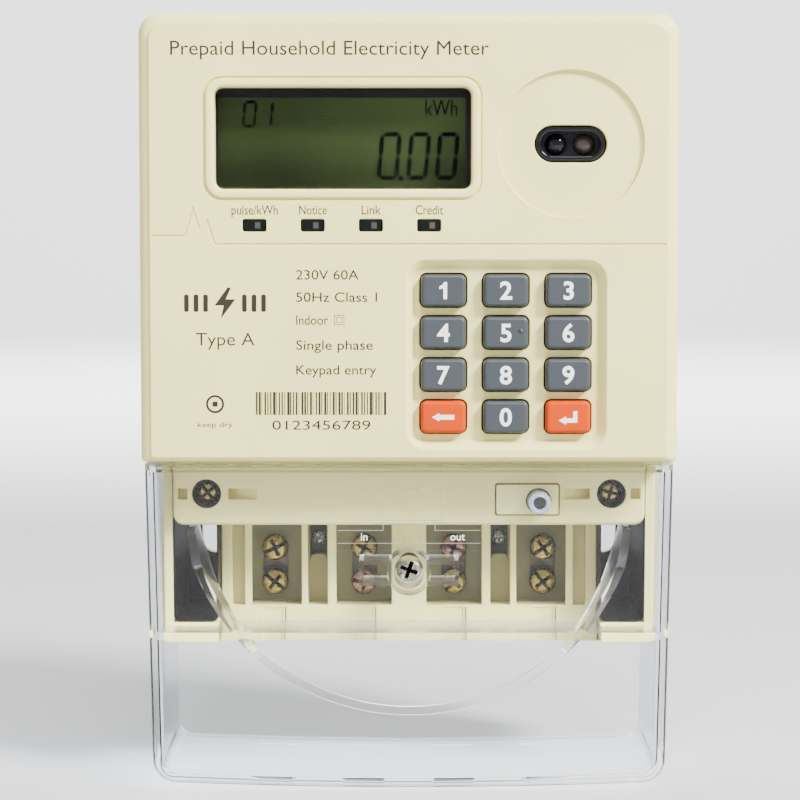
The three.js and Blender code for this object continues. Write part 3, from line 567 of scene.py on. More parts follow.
PAD_STEPS = [(-0.35, 0), (-0.1, 0.05), (0.12, 0.2), (1.75, 1.8), (1.95, 1.95), (2.2, 2)]
PAD_MARGIN = 8.5
pad_x = (key_at["1"][0] - PAD_MARGIN, key_at["3"][0] + PAD_MARGIN + 0.3)
pad_z = (key_at["0"][1] - 7.4, key_at["1"][1] + 7.0)
pad = rounded(*pad_x, *pad_z, 4.6, 10)
pad_floor = face_y + PAD_STEPS[-1][1]
key_holes = [around(x, z, KEY_W + 0.3, KEY_H + 0.3, KEY_R + 0.3) for x, z in key_at.values()]
lamp_holes = [around(x, z, 2.75, 1.45, 0.5, 5) for x, z in lamp_at]
port = circle(port_x, port_z, PORT_R, 96)
port_floor = face_y + 0.9
oval = around(port_x, port_z, 8.3, 4.25, 4.25, 14)

face_cuts = [inset(bezel, -0.12), *(inset(o, -RIM) for o in lamp_holes), inset(port, -RIM),
             inset(pad, PAD_STEPS[0][0]), inset(pulse, -0.12)]
BEZEL_RISE = [(-0.12, 0), (-0.03, 0.04), (0, 0.15), (0.04, 0.45), (0.42, 0.45), (0.46, 0.1), (0.5, -0.2),
              (0.6, -0.37), (0.8, -0.46), (1.1, -0.5), (1.75, -0.5), (2.05, -0.44), (2.3, -0.28),
              (2.44, -0.05),
              (BEZEL, 0.3)]
bezel_steps = [*((d, face_y + y) for d, y in BEZEL_RISE), (BEZEL, BACK_OF_FACE)]
port_steps = rim(face_y, RIM, port_floor - 0.1) + [(0.04, port_floor - 0.02), (0.1, port_floor)]
cover_parts = [
    outer,
    flat([cover_ring(SKIN[-1][0]), *face_cuts], face_y),
    *groove,
    wall(bezel, bezel_steps),
    *(wall(hole, rim(face_y, RIM, BACK_OF_FACE)) for hole in lamp_holes),
    wall(port, port_steps),
    flat([inset(port, 0.1), inset(oval, -0.3)], port_floor),
    wall(oval, rim(port_floor, 0.3, BACK_OF_FACE)),
    wall(pad, [(d, face_y + y) for d, y in PAD_STEPS]),
    flat([inset(pad, PAD_STEPS[-1][0]), *(inset(o, -RIM) for o in key_holes)], pad_floor),
    *(wall(hole, rim(pad_floor, RIM, BACK_OF_FACE)) for hole in key_holes),
    flat([inner_ring, inset(bezel, BEZEL), *lamp_holes, oval, *key_holes], BACK_OF_FACE),
    loft([(inner_ring, BACK_OF_FACE), (inner_ring, seam_y)]),
    flat([cover_ring(SKIN[0][0]), inner_ring], seam_y)]

# %% Front cover: the ledge behind the terminal cover
LEDGE_Y, LEDGE_BACK, LEDGE_HALF = -44.0, -32.3, 55.6
ledge = rounded(-LEDGE_HALF, LEDGE_HALF, ledge_z, SPLIT_Z + 1.5, (2.6, 0.5), 8)
seal_x, seal_z = middle("case_screw_right")
(plate_x0, plate_x1), _, (plate_z0, plate_z1) = span("switch_plate")
wells = [circle(s * seal_x, seal_z, 3.45, 40) for s in (-1, 1)]
NOTCH_X, RAMP_X, NOTCH_HALF = (52.2, 54.4), (36, 42.6), 1.3
notches = [rounded(*sorted(s * x for x in NOTCH_X), seal_z - NOTCH_HALF, seal_z + NOTCH_HALF, 0.2, 3)
           for s in (-1, 1)]
ramps = [rounded(*sorted(s * x for x in RAMP_X), seal_z - NOTCH_HALF, seal_z + NOTCH_HALF, 0.25, 3)
         for s in (-1, 1)]
plate_hole = rounded(plate_x0 - 0.3, plate_x1 + 0.3, plate_z0 - 0.3, plate_z1 + 0.3, 0.5, 4)
LEDGE_RIM = 0.2
ledge_cuts = [inset(o, -LEDGE_RIM) for o in (*wells, *notches, *ramps, plate_hole)]
cover_parts += boss(ledge, LEDGE_Y, 0.9, LEDGE_BACK, 6, ledge_cuts)
for well in wells:
    cover_parts += pocket(well, LEDGE_Y, LEDGE_RIM, LEDGE_Y + 5.9)
for notch in notches:
    cover_parts += pocket(notch, LEDGE_Y, LEDGE_RIM, LEDGE_Y + 3)
cover_parts += pocket(plate_hole, LEDGE_Y, LEDGE_RIM, LEDGE_Y + 6.4)


def ramp_depth(x):
    """A slope from 0.7 mm deep at a ramp's inner end to 4 mm at its outer end."""
    return LEDGE_Y + 0.7 + 3.3 * (np.abs(x) - RAMP_X[0]) / (RAMP_X[1] - RAMP_X[0])


for ramp in ramps:
    floor_points, floor_faces = flat([ramp], LEDGE_Y)
    floor_points[:, 1] = ramp_depth(floor_points[:, 0])
    edge = [(inset(ramp, d), y) for d, y in rim(LEDGE_Y, LEDGE_RIM, 0)[:-1]]
    cover_parts += [loft(edge + [(ramp, ramp_depth(ramp[:, 0]))]), (floor_points, floor_faces)]
front_cover = piece("front_cover_moulding", cover_parts, cream, "case", ["front_cover"])
print("front cover:", len(front_cover.data.polygons), "faces")

# %% [markdown]
# ## Terminal block
#
# Four deep chambers hold the screws, two narrow slots hold the link screws, and a lip below carries the
# numbers. Each hollow is a pocket in the front plane: a rounded rim, a wall and a floor with the next,
# deeper hole left open. The wire bores come up from below, so the same flat is turned round to make the
# underside.

# %% Terminal block: measures and tools
(block_x0, block_x1), (block_y0, block_y1), (block_z0, block_z1) = span("terminal_block")
terminal_at = [middle(f"terminal_screw_{i}a")[0] for i in (1, 2, 3, 4)]
screw_rows = (middle("terminal_screw_1a")[1], middle("terminal_screw_1b")[1])
link_at = [middle("link_screw_" + side) for side in ("left", "right")]
CHAMBER_HALF, CHAMBER_FOOT, BLOCK_STEP = 6.7, -49.8, -26.5
CHAMBER_TOP = BLOCK_STEP - 0.4
CHAMBER_FLOOR, TUNNEL_FRONT, TUNNEL_BACK = block_y0 + 8, depths("terminal_clamp_1")[0] - 0.4, -8.0
TUNNEL_HALF, TUNNEL_FOOT, BORE_Y, BORE_R = 5.7, -51.5, -15.0, 4.3
BLOCK_RIM = 0.22
print("terminals at x", [round(x, 2) for x in terminal_at])
print("screw rows at z", [round(z, 2) for z in screw_rows])


def corners(x0, x1, z0, z1):
    return np.array([(x0, z0), (x1, z0), (x1, z1), (x0, z1)], float)


def laid(part, z):
    """The same part with depth and height exchanged: an outline of (x, y) points at height z."""
    points, faces = part
    return np.column_stack([points[:, 0], points[:, 2], np.full(len(points), z)]), faces


def upright(outline, heights):
    """A skin through copies of an (x, y) outline at some heights."""
    rows = [np.column_stack([outline[:, 0], outline[:, 1], np.full(len(outline), z)]) for z in heights]
    return np.concatenate(rows), grid_faces(len(rows), len(outline))


def without(part, z):
    """The part less its faces that lie flat at height z, where a flat with holes will close it."""
    points, faces = part
    return points, faces[~np.isclose(points[faces][:, :, 2], z).all(1)]


def tall_hole(x, half, r):
    """The outline of a hollow that is as tall as the chambers."""
    return around(x, (CHAMBER_TOP + CHAMBER_FOOT) / 2, half, (CHAMBER_TOP - CHAMBER_FOOT) / 2, r, 3)


# %% Terminal block: body and tunnels
SHOULDER = 42.9
right_side = [(block_x0, block_z0), (block_x1, block_z0), (block_x1, BLOCK_STEP), (SHOULDER, BLOCK_STEP)]
left_side = [(-SHOULDER, BLOCK_STEP), (block_x0, BLOCK_STEP)]
front_outline = np.array(right_side + left_side)
rear_outline = np.array([*right_side, (SHOULDER, block_z1), (-SHOULDER, block_z1), *left_side])
upper_outline = corners(-SHOULDER, SHOULDER, BLOCK_STEP, block_z1)
STEP_Y = block_y0 + 5
block_edge = rim(block_y0, 0.45, STEP_Y, 5, hole=False)
lower_face = [circle(x, BORE_Y, BORE_R, 40) for x in terminal_at]
block_parts = [without(wall(front_outline, block_edge), block_z0),
               without(loft([(rear_outline, STEP_Y), (rear_outline, block_y1)]), block_z0),
               flat([upper_outline], STEP_Y), flat([rear_outline], block_y1),
               laid(flat([corners(block_x0, block_x1, block_y0 + 0.45, block_y1), *lower_face], 0), block_z0)]
block_cuts = []
for x, bore in zip(terminal_at, lower_face):
    tunnel = corners(x - TUNNEL_HALF, x + TUNNEL_HALF, TUNNEL_FOOT, block_z1 - 1)
    tunnel_floor = corners(x - TUNNEL_HALF, x + TUNNEL_HALF, TUNNEL_FRONT, TUNNEL_BACK)
    slot_hole = around(x, sum(screw_rows) / 2, 3, (screw_rows[0] - screw_rows[1]) / 2 + 3, 3, 8)
    chamber = tall_hole(x, CHAMBER_HALF, 0.35)
    block_cuts.append(inset(chamber, -BLOCK_RIM))
    block_parts += pocket(chamber, block_y0, BLOCK_RIM, CHAMBER_FLOOR, [inset(slot_hole, -0.2)])
    block_parts += [wall(slot_hole, rim(CHAMBER_FLOOR, 0.2, TUNNEL_FRONT)),
                    flat([tunnel, slot_hole], TUNNEL_FRONT), flat([tunnel], TUNNEL_BACK),
                    without(loft([(tunnel, TUNNEL_FRONT), (tunnel, TUNNEL_BACK)]), TUNNEL_FOOT),
                    laid(flat([tunnel_floor, bore], 0), TUNNEL_FOOT), upright(bore, (block_z0, TUNNEL_FOOT))]

# %% Terminal block: link slots, shelves, number panels
LINK_HALF, LINK_DEPTH, LINK_DEEP, ARCH_HALF, ARCH_Z = 2.4, 6.0, 11.0, 2.1, -38.2
for x, _ in link_at:
    link = tall_hole(x, LINK_HALF, 0.3)
    bow = np.linspace(-1, 1, 13)
    arch = np.column_stack([x + ARCH_HALF * bow, ARCH_Z - 1.5 + 1.5 * np.sqrt(np.clip(1 - bow**4, 0, 1))])
    deep = np.vstack([arch, [(x + ARCH_HALF, CHAMBER_TOP - 0.5), (x - ARCH_HALF, CHAMBER_TOP - 0.5)]])
    block_parts += pocket(link, block_y0, BLOCK_RIM, block_y0 + LINK_DEPTH, [inset(deep, -0.15)])
    block_parts += pocket(deep, block_y0 + LINK_DEPTH, 0.15, block_y0 + LINK_DEEP)
    block_cuts.append(inset(link, -BLOCK_RIM))
for low, high in ((38.0, 42.6), (-42.6, -38.0)):
    shelf = rounded(low, high, CHAMBER_FOOT, CHAMBER_TOP, 0.35, 3)
    block_parts += pocket(shelf, block_y0, BLOCK_RIM, block_y0 + 3)
    block_cuts.append(inset(shelf, -BLOCK_RIM))
PANEL_RIM, SLIT_RIM, SLIT_FLOOR = 0.12, 0.06, block_y0 + 1.2
panel_z = (block_z0 + 0.6, CHAMBER_FOOT - 0.5)
for x in terminal_at:
    number_panel = rounded(x - 2.55, x + 2.2, *panel_z, 0.2, 3)
    slit = rounded(x + 2.6, x + 2.95, *panel_z, 0.08, 2)
    block_parts += pocket(number_panel, block_y0, PANEL_RIM, block_y0 + 0.4)
    block_parts += [wall(slit, rim(block_y0, SLIT_RIM, SLIT_FLOOR)), flat([slit], SLIT_FLOOR)]
    block_cuts += [inset(number_panel, -PANEL_RIM), inset(slit, -SLIT_RIM)]
screw_hole = circle(0, middle("cover_screw")[1], 2.3, 40)
block_parts += pocket(screw_hole, block_y0, BLOCK_RIM, -9)
block_cuts.append(inset(screw_hole, -BLOCK_RIM))
block_parts.append(flat([inset(front_outline, 0.45), *block_cuts], block_y0))
terminal_block = piece("terminal_block_moulding", block_parts, cream_block, "case", ["terminal_block"],
                       30)
print("terminal block:", len(terminal_block.data.polygons), "faces")

# %% [markdown]
# ## Screws and other turned pieces
#
# A terminal screw has a pan head with a cross recess, one arm of which runs out as a slot. The head is a
# height field over polar coordinates: a dome less a recess whose depth is a smooth step of the distance to
# its edge. That keeps the whole screw one grid, from the pole on the head down to the tip of the shank.

# %% Turned pieces
def lathe(x, z, profile, steps=48):
    """A turned body about an axis along y: rings of (radius, y)."""
    return loft([(circle(x, z, max(r, 0.0), steps), y) for r, y in profile])


def smooth_step(t):
    """3 t^2 - 2 t^3, with t held between 0 and 1."""
    t = np.clip(t, 0, 1)
    return t * t * (3 - 2 * t)


def screw_body(node, head, tall, shank, turn, arm, slot, width, depth, steps=144):
    """A pan-head screw as one polar grid. The crown falls by 0.3 tall (r / head)^4. The recess takes depth
    times a smooth step of how far a point lies inside a cross with half lengths slot and arm."""
    y_front, y_tip = depths(node)
    x, z = middle(node)
    r = np.concatenate([np.linspace(0, head * 0.9, 30), head * np.array([0.95, 0.985, 1.0, 1.0, 0.97, 0.9])])
    a = np.linspace(0, 2 * np.pi, steps, endpoint=False)
    rr, aa = np.meshgrid(r, a, indexing="ij")
    u, v = rr * np.cos(aa - turn), rr * np.sin(aa - turn)
    inside = np.maximum(np.minimum(width / 2 - np.abs(v), slot - np.abs(u)),
                        np.minimum(width / 2 - np.abs(u), arm - np.abs(v)))
    y = y_front + 0.3 * tall * (rr / head) ** 4 + depth * smooth_step(inside / 0.2) * (1 - 0.4 * rr / head)
    y[-4:] = y_front + tall * np.array([0.55, 0.86, 0.97, 1.0])[:, None]
    y[-6:-4] = y_front + tall * np.array([0.33, 0.4])[:, None]
    head_points = np.stack([x + rr * np.cos(aa), y, z + rr * np.sin(aa)], -1)
    seat = y_front + tall
    below = [(shank, seat), (shank, y_tip - 0.5), (shank - 0.5, y_tip), (0, y_tip)]
    rings = [np.stack([x + q * np.cos(a), np.full(steps, yy), z + q * np.sin(a)], -1) for q, yy in below]
    points = np.concatenate([head_points.reshape(-1, 3), *rings])
    return points, grid_faces(len(r) + len(below), steps)


# %% Screws
TERMINAL_TURNS = [(25, -38), (64, -8), (-22, 48), (35, -52)]
for i, turns in enumerate(TERMINAL_TURNS):
    for letter, degrees in zip("ab", turns):
        node = f"terminal_screw_{i + 1}{letter}"
        pink = (i, letter) in ((1, "b"), (2, "a"))
        body = screw_body(node, 3.2, 3.4, 2.35, math.radians(degrees), 2.2, 2.95, 0.95, 1.5)
        piece(node + "_turned", [body], rose_zinc if pink else gold_zinc, node, [node], 30)
for side, degrees in (("left", 40), ("right", -15)):
    node = "case_screw_" + side
    body = screw_body(node, 2.75, 2.2, 1.5, math.radians(degrees), 1.75, 1.75, 0.85, 1.5, 120)
    piece(node + "_turned", [body], case_zinc, "case", [node], 30)
    node = "link_screw_" + side
    body = screw_body(node, 1.9, 1.6, 1.2, math.radians(degrees + 20), 1.2, 1.2, 0.55, 0.9, 96)
    piece(node + "_turned", [body], dull_steel, "case", [node], 30)
body = screw_body("cover_screw", 3.0, 2.4, 1.95, math.radians(70), 2.1, 2.1, 0.95, 1.6)
piece("cover_screw_turned", [body], pale_zinc, "cover_screw", ["cover_screw"], 30)

# %% [markdown]
# ## Switch in the ledge
#
# A small plate carries a plunger that the terminal cover presses in when it is closed. The plunger is a
# pale ring with a black core, so it is two turned pieces that move together.

# %% Switch plate and plunger
plate_front, plate_back = depths("switch_plate")
plunger_x, plunger_z = middle("switch_plunger")
plunger_front, plunger_back = depths("switch_plunger")
plate_outline = rounded(plate_x0, plate_x1, plate_z0, plate_z1, 0.35, 4)
guide = circle(plunger_x, plunger_z, 2.95, 48)
plate_edge = rim(plate_front, 0.2, plate_back, 4, hole=False)
plate_parts = [wall(plate_outline, plate_edge), wall(guide, rim(plate_front, 0.2, plate_back)),
               flat([inset(plate_outline, 0.2), inset(guide, -0.2)], plate_front),
               flat([plate_outline, guide], plate_back)]
piece("switch_plate_moulding", plate_parts, cream_plate, "case", ["switch_plate"], 30)
CORE_R, CORE_DEPTH = 1.5, 0.9
RING_FRONT = [(0, CORE_DEPTH), (CORE_R, CORE_DEPTH), (CORE_R, 0.25), (CORE_R + 0.2, 0), (2.2, 0), (2.5, 0.12),
              (2.65, 0.45)]
ring = [*((r, plunger_front + y) for r, y in RING_FRONT), (2.65, plunger_back), (0, plunger_back)]
piece("switch_plunger_ring", [lathe(plunger_x, plunger_z, ring)], plunger_grey, "switch_plunger",
      ["switch_plunger"], 40)
CORE = [(0, 0.55), (1.2, 0.6), (1.42, 0.75), (1.42, 0.95), (0, 0.95)]
core = [(r, plunger_front + y) for r, y in CORE]
piece("switch_plunger_core", [lathe(plunger_x, plunger_z, core)], black, "switch_plunger", (),
      40)

# %% [markdown]
# ## Sleeves of the case screws
#
# Each case screw stands in a black turned tube with a floor ring under the head, which makes its well
# dark.

# %% Sleeves
sleeve_back = LEDGE_Y + 5.85
SLEEVE = [(1.9, sleeve_back), (1.9, sleeve_back - 0.12), (3.0, sleeve_back - 0.12), (3.0, LEDGE_Y + 0.75),
          (3.12, LEDGE_Y + 0.5), (3.4, LEDGE_Y + 0.5), (3.4, sleeve_back), (1.9, sleeve_back)]
SIDES = (("left", -1), ("right", 1))
for name, side in SIDES:
    tube = lathe(side * seal_x, seal_z, SLEEVE)
    piece("screw_well_sleeve_" + name, [tube], rubber, "case", (), 35)

# %% [markdown]
# ## Keypad
#
# Twelve keys of one shape stand in the holes of the sunk field. Each has a rounded crown, a black rubber
# skirt, and a white legend. The skirt shows as a dark line round the key: partly rubber, as real keypads
# have, and partly painted shade for the shade in the gap. The digits come from the built-in font, turned
# into a mesh and fitted to a height. The digit 1 and the two arrows are outlines. Every piece rides on its
# own key.

# %% Letters into meshes
def slab(outlines, front, back):
    """A thin closed plate over the area inside an odd number of outlines."""
    return [flat(outlines, front), flat(outlines, back), *[loft([(o, front), (o, back)]) for o in outlines]]


def font_mesh(words, weight):
    """The built-in font's letters as (points, faces) in x and y, with z 0 behind and 1 in front."""
    curve = bpy.data.curves.new("letters", "FONT")
    curve.body = words
    curve.extrude = 0.01
    curve.offset = weight
    curve.resolution_u = 4
    made = bpy.data.objects.new("letters", curve)
    bpy.context.scene.collection.objects.link(made)
    mesh = bpy.data.meshes.new_from_object(made.evaluated_get(bpy.context.evaluated_depsgraph_get()))
    points = np.array([v.co[:] for v in mesh.vertices])
    faces = [tuple(p.vertices) for p in mesh.polygons]
    bpy.data.objects.remove(made)
    bpy.data.curves.remove(curve)
    bpy.data.meshes.remove(mesh)
    points[:, 2] = points[:, 2] > 0
    return points, faces


CAP = float(np.ptp(font_mesh("H", 0)[0][:, 1]))


def letters(words, x, z, cap, front, thick=0.05, width=None, weight=0.0, align=0.0):
    """Words with their foot at z and cap height cap. x is their left (align 0), middle (0.5) or right (1)."""
    points, faces = font_mesh(words, weight)
    scale = cap / CAP
    low, size = points[:, 0].min(), np.ptp(points[:, 0])
    stretch = width / size if width else scale
    at_x = x + (points[:, 0] - low - align * size) * stretch
    return np.column_stack([at_x, front + thick * (1 - points[:, 2]), z + points[:, 1] * scale]), faces


# %% Keys
crown_y = depths("key_5")[0]
KEY_EDGE = [(0, pad_floor + 3.4), (0.02, crown_y + 1.3), (0.08, crown_y + 0.75), (0.2, crown_y + 0.36),
            (0.42, crown_y + 0.12), (0.7, crown_y + 0.02), (0.9, crown_y)]
DIGIT_CAP, PROUD = 3.9, 0.04
back_arrow = np.array([(-2.6, 0), (-0.95, -0.95), (-0.95, -0.55), (2.55, -0.55), (2.55, 0.55), (-0.95, 0.55),
                       (-0.95, 0.95)])
enter_arrow = np.array([(-2.15, -0.75), (-0.5, -1.7), (-0.5, -1.25), (2.1, -1.25), (2.1, 1.4), (1.15, 1.4),
                        (1.15, -0.25), (-0.5, -0.25), (-0.5, 0.2)])
one = np.array([(0.0, -1.95), (0.82, -1.95), (0.82, 1.95), (0.2, 1.95), (-0.3, 1.3), (-0.95, 0.95),
                (-0.95, 0.3), (-0.4, 0.45), (0.0, 0.72)])
NUB = [(0.62, 0.05), (0.52, -0.12), (0.36, -0.25), (0.18, -0.32), (0, -0.34)]
outlined = {"1": one, "back": back_arrow, "enter": enter_arrow}
for name, (x, z) in key_at.items():
    body = "key_" + name
    cap_outline = around(x, z, KEY_W, KEY_H, KEY_R)
    finish = key_orange if name in ("back", "enter") else key_grey
    cap = [wall(cap_outline, KEY_EDGE), flat([inset(cap_outline, KEY_EDGE[-1][0])], crown_y),
           flat([cap_outline], KEY_EDGE[0][1])]
    if name == "5":
        cap.append(lathe(x + 3.45, z + 0.45, [(r, crown_y + y) for r, y in NUB], 24))
    piece(body + "_cap", cap, finish, body, [body], 50)
    # Painted shade in part: the black skirt sits in the gap round the key, so the gap reads as a dark line.
    skirt_outline = inset(cap_outline, -0.22)
    skirt = [wall(skirt_outline, [(0.2, pad_floor + 0.35), (0, pad_floor + 0.55), (0, pad_floor + 3.9)]),
             flat([inset(skirt_outline, 0.2)], pad_floor + 0.35), flat([skirt_outline], pad_floor + 3.9)]
    piece(body + "_skirt", skirt, rubber, body, (), 50)
    if name not in outlined:
        legend = [letters(name, x, z - DIGIT_CAP / 2, DIGIT_CAP, crown_y - PROUD, 0.09, None, 0.025, 0.5)]
    else:
        legend = slab([outlined[name] + (x, z)], crown_y - PROUD, crown_y + 0.05)
    piece(body + "_legend", legend, white_ink, body, (), 30)
print("keys:", len(key_at), "legend height", DIGIT_CAP, "mm")

# %% [markdown]
# ## Display, lamps and optical port
#
# Behind a clear pane lies an olive glass with dark seven-segment digits that lean a little. The glass is
# painted lighter towards its right and top: painted light against the shade of the bezel. Each bar is a
# hexagon between two points, and a thin black mask hides the edge of the glass; its wider bands at the top
# and right are painted shade for the shade under the bezel. The lamps are smoked lenses with a paler chip
# inside. The optical port is a glossy black bezel round two domes.

# %% Display glass and digits
_, (glass_y, _), (glass_z0, glass_z1) = span("display_panel")
BAR_ENDS = {"a": ((0, 1), (1, 1)), "b": ((1, 1), (1, 0.5)), "c": ((1, 0.5), (1, 0)), "d": ((0, 0), (1, 0)),
            "e": ((0, 0.5), (0, 0)), "f": ((0, 1), (0, 0.5))}
DIGIT_BARS = {"0": "abcdef", "1": "bc"}
LEAN = 0.09


def digit(which, x, z, width, height, bar):
    """Hexagonal bars between the corners of a box, leaning by LEAN mm for each mm of height."""
    outlines = []
    for name in DIGIT_BARS[which]:
        (u0, v0), (u1, v1) = BAR_ENDS[name]
        p, q = np.array([u0 * width, v0 * height]), np.array([u1 * width, v1 * height])
        along = (q - p) / np.linalg.norm(q - p)
        side = np.array([-along[1], along[0]]) * bar / 2
        p, q = p + along * bar * 0.16, q - along * bar * 0.16
        hexagon = np.array([p, p + along * bar / 2 - side, q - along * bar / 2 - side, q,
                            q - along * bar / 2 + side, p + along * bar / 2 + side])
        outlines.append(hexagon + (x, z) + np.outer(hexagon[:, 1], (LEAN, 0)))
    return outlines


BIG, SMALL = (4.0, 10.0, 1.05), (2.6, 5.6, 0.75)
big_z, small_z = glass_z0 + 3.75, glass_z1 - 9.6
bars = []
for x in (-7.0, -0.2, 6.4):
    bars += digit("0", x, big_z, *BIG)
bars += digit("0", -38.4, small_z, *SMALL) + digit("1", -34.6, small_z, *SMALL)
bars.append(around(-1.9, big_z - 0.1, 0.55, 0.5, 0.15, 2))
INK_Y = glass_y - 0.06
segments = [part for outline in bars for part in slab([outline], INK_Y, glass_y + 0.03)]
segments.append(letters("kWh", 11.2, glass_z1 - 7.2, 3.7, INK_Y, 0.09, 7.4, 0.0, 1.0))
piece("display_segments", segments, segment_ink, "case", (), 30)
# Painted shade in part: the mask runs 1.75 mm into the window at the top and 0.9 mm at the right, against 0.2
# mm at the left and 0.1 mm at the foot, to stand for the shade under the bezel.
mask_hole = rounded(window_x[0] + 0.2, window_x[1] - 0.9, window_z[0] + 0.1, window_z[1] - 1.75, 0.5, 4)
mask_edge = corners(window_x[0] - 0.9, window_x[1] + 0.9, window_z[0] - 0.9, window_z[1] + 0.9)
piece("display_mask", slab([mask_edge, mask_hole], glass_y - 0.35, glass_y - 0.07), black, "case", (),
      30)

# %% Pane over the display
pane_front, pane_back = depths("display_window")
pane_outline = rounded(*window_x, *window_z, 1.7, 8)
piece("display_pane", boss(pane_outline, pane_front, 0.25, pane_back), pane, "case", ["display_window"],
      30)

# %% Lamps
for i, (x, z) in enumerate(lamp_at):
    lens_front, lens_back = depths(f"status_light_{i + 1}")
    lens = around(x, z, 2.45, 1.15, 0.4, 5)
    piece(f"lamp_lens_{i + 1}", boss(lens, lens_front, 0.22, lens_back), smoked, "case",
          [f"status_light_{i + 1}"], 30)
    chip = slab([around(x + 0.75, z, 0.62, 0.72, 0.12, 3)], lens_front - 0.02, lens_front + 0.05)
    piece(f"lamp_chip_{i + 1}", chip, chip_brown if i == 3 else chip_grey, "case", (), 30)

# %% Optical port
port_front, port_back = depths("optical_bezel")
port_outline = around(port_x, port_z, 8.0, 3.95, 3.95, 16)
PORT_FLOOR, HOLE_R, DOME_R = port_front + 2.8, 2.65, 2.45
PORT_LIP = [(0, 0.4), (0.12, 0.1), (0.4, 0), (0.85, 0), (1.02, 0.1), (1.1, 0.4)]
port_steps = [(0, port_back), *((d, port_front + y) for d, y in PORT_LIP), (1.14, PORT_FLOOR)]
port_rows = [(around(port_x, port_z, 8.0 - d, 3.95 - d, 3.95 - d, 16), y) for d, y in port_steps]
dome_x = [middle("infrared_emitter")[0], middle("infrared_receiver")[0]]
dome_holes = [circle(x, port_z, HOLE_R, 40) for x in dome_x]
port_parts = [loft(port_rows), flat([port_rows[-1][0], *dome_holes], PORT_FLOOR),
              flat([port_outline], port_back)]
for hole in dome_holes:
    port_parts += [loft([(hole, PORT_FLOOR), (hole, PORT_FLOOR + 1.5)]), flat([hole], PORT_FLOOR + 1.5)]
piece("optical_port_bezel", port_parts, gloss_black, "case", ["optical_bezel"], 40)
for node, finish in (("infrared_emitter", lens_black), ("infrared_receiver", lens_brown)):
    x, z = middle(node)
    a = np.linspace(0, np.pi / 2, 12)
    dome = [(DOME_R * math.sin(t), PORT_FLOOR - 1.2 + 1.8 * (1 - math.cos(t))) for t in a]
    profile = [*dome, (DOME_R, PORT_FLOOR + 1.3), (0, PORT_FLOOR + 1.3)]
    piece(node + "_dome", [lathe(x, z, profile, 40)], finish, "case", [node], 40)
print("display bars:", len(bars), "lamps:", len(lamp_at))

# %% [markdown]
# ## Clear terminal cover
#
# The cover is one clear moulding: a deep tray with ribs inside. A tray could be lofted, but ribs that grow
# out of its wall would leave hidden faces, and light would bend at each of them. So every body is worked
# out as a closed solid first, and exact Booleans join them into a single skin. The bowed foot is a parabola
# and the corners are arcs.

# %% Clear cover: solids and Booleans
def solid(*parts):
    """A temporary closed object from (points, faces) parts in millimetres."""
    made = piece("blank", list(parts), clear, "stage")
    made.modifiers.clear()
    return made


def combine(base, operation, tools):
    """The base after one exact Boolean with each tool. The tools are used up."""
    for tool in tools:
        step = base.modifiers.new("step", "BOOLEAN")
        step.operation, step.solver, step.object = operation, "EXACT", tool
        mesh = bpy.data.meshes.new_from_object(base.evaluated_get(bpy.context.evaluated_depsgraph_get()))
        base.modifiers.clear()
        base.data = mesh
        bpy.data.objects.remove(tool)
    return base


def prism(outline, front, back):
    return solid(*slab([outline], front, back))


def block(x0, x1, y0, y1, z0, z1):
    return prism(corners(x0, x1, z0, z1), y0, y1)


def shell(rings):
    """A closed solid through (outline, y) rings."""
    return solid(loft(rings), flat([rings[0][0]], rings[0][1]), flat([rings[-1][0]], rings[-1][1]))


def taken(made):
    """The points and faces of a temporary object, which is used up."""
    points = np.array([v.co[:] for v in made.data.vertices]) / MM
    faces = [tuple(p.vertices) for p in made.data.polygons]
    bpy.data.objects.remove(made)
    return points, faces


# %% Clear cover: tray
(_, cover_x1), (cover_front, cover_rear), (cover_z0, cover_z1) = span("terminal_cover")
BOW, NARROWING, FOOT_R, SHEET = 1.2, 1.4, 6.0, 2.0


def cover_outline(d, top):
    """The cover's outline drawn in by d, and by top at its upper edge. The foot is z0 + bow t^2, t from -1 to
    1 between the corners, and the sides run from the corner arcs straight up and a little outwards."""
    half_low, half_high = cover_x1 - NARROWING - d, cover_x1 - d
    r = max(FOOT_R - d, 1.5)
    low = cover_z0 + d
    t = np.linspace(-1, 1, 41)[1:-1]
    foot = np.column_stack([(half_low - r) * t, low + BOW * t * t])
    a = np.linspace(-np.pi / 2, 0, 13)
    arc = np.column_stack([half_low - r + r * np.cos(a), low + BOW + r + r * np.sin(a)])
    right = np.vstack([arc, [(half_high, cover_z1 - top)]])
    return np.vstack([foot, right, right[::-1] * (-1, 1)])


SHOULDERS = [(0.25, 4.2), (0.35, 2.8), (0.6, 1.7), (1.05, 0.85), (1.7, 0.3), (2.4, 0.06), (3.0, 0)]
INNER_CORNER = [(0.3, 2.4), (0.6, 0.9), (1.2, 0.25), (2.0, 0)]
tray = shell([(cover_outline(0, 0), cover_rear),
              *((cover_outline(d, d * 0.2), cover_front + y) for d, y in SHOULDERS)])
hollow = shell([(cover_outline(SHEET, SHEET), cover_rear + 1),
                *((cover_outline(SHEET + d, SHEET), cover_front + SHEET + y) for d, y in INNER_CORNER)])
behind_ledge = block(-59.4, 59.4, LEDGE_Y - 0.5, 0, SPLIT_Z - 4, SPLIT_Z + 2)
combine(tray, "DIFFERENCE", [hollow, behind_ledge])
print("tray:", len(tray.data.polygons), "faces")

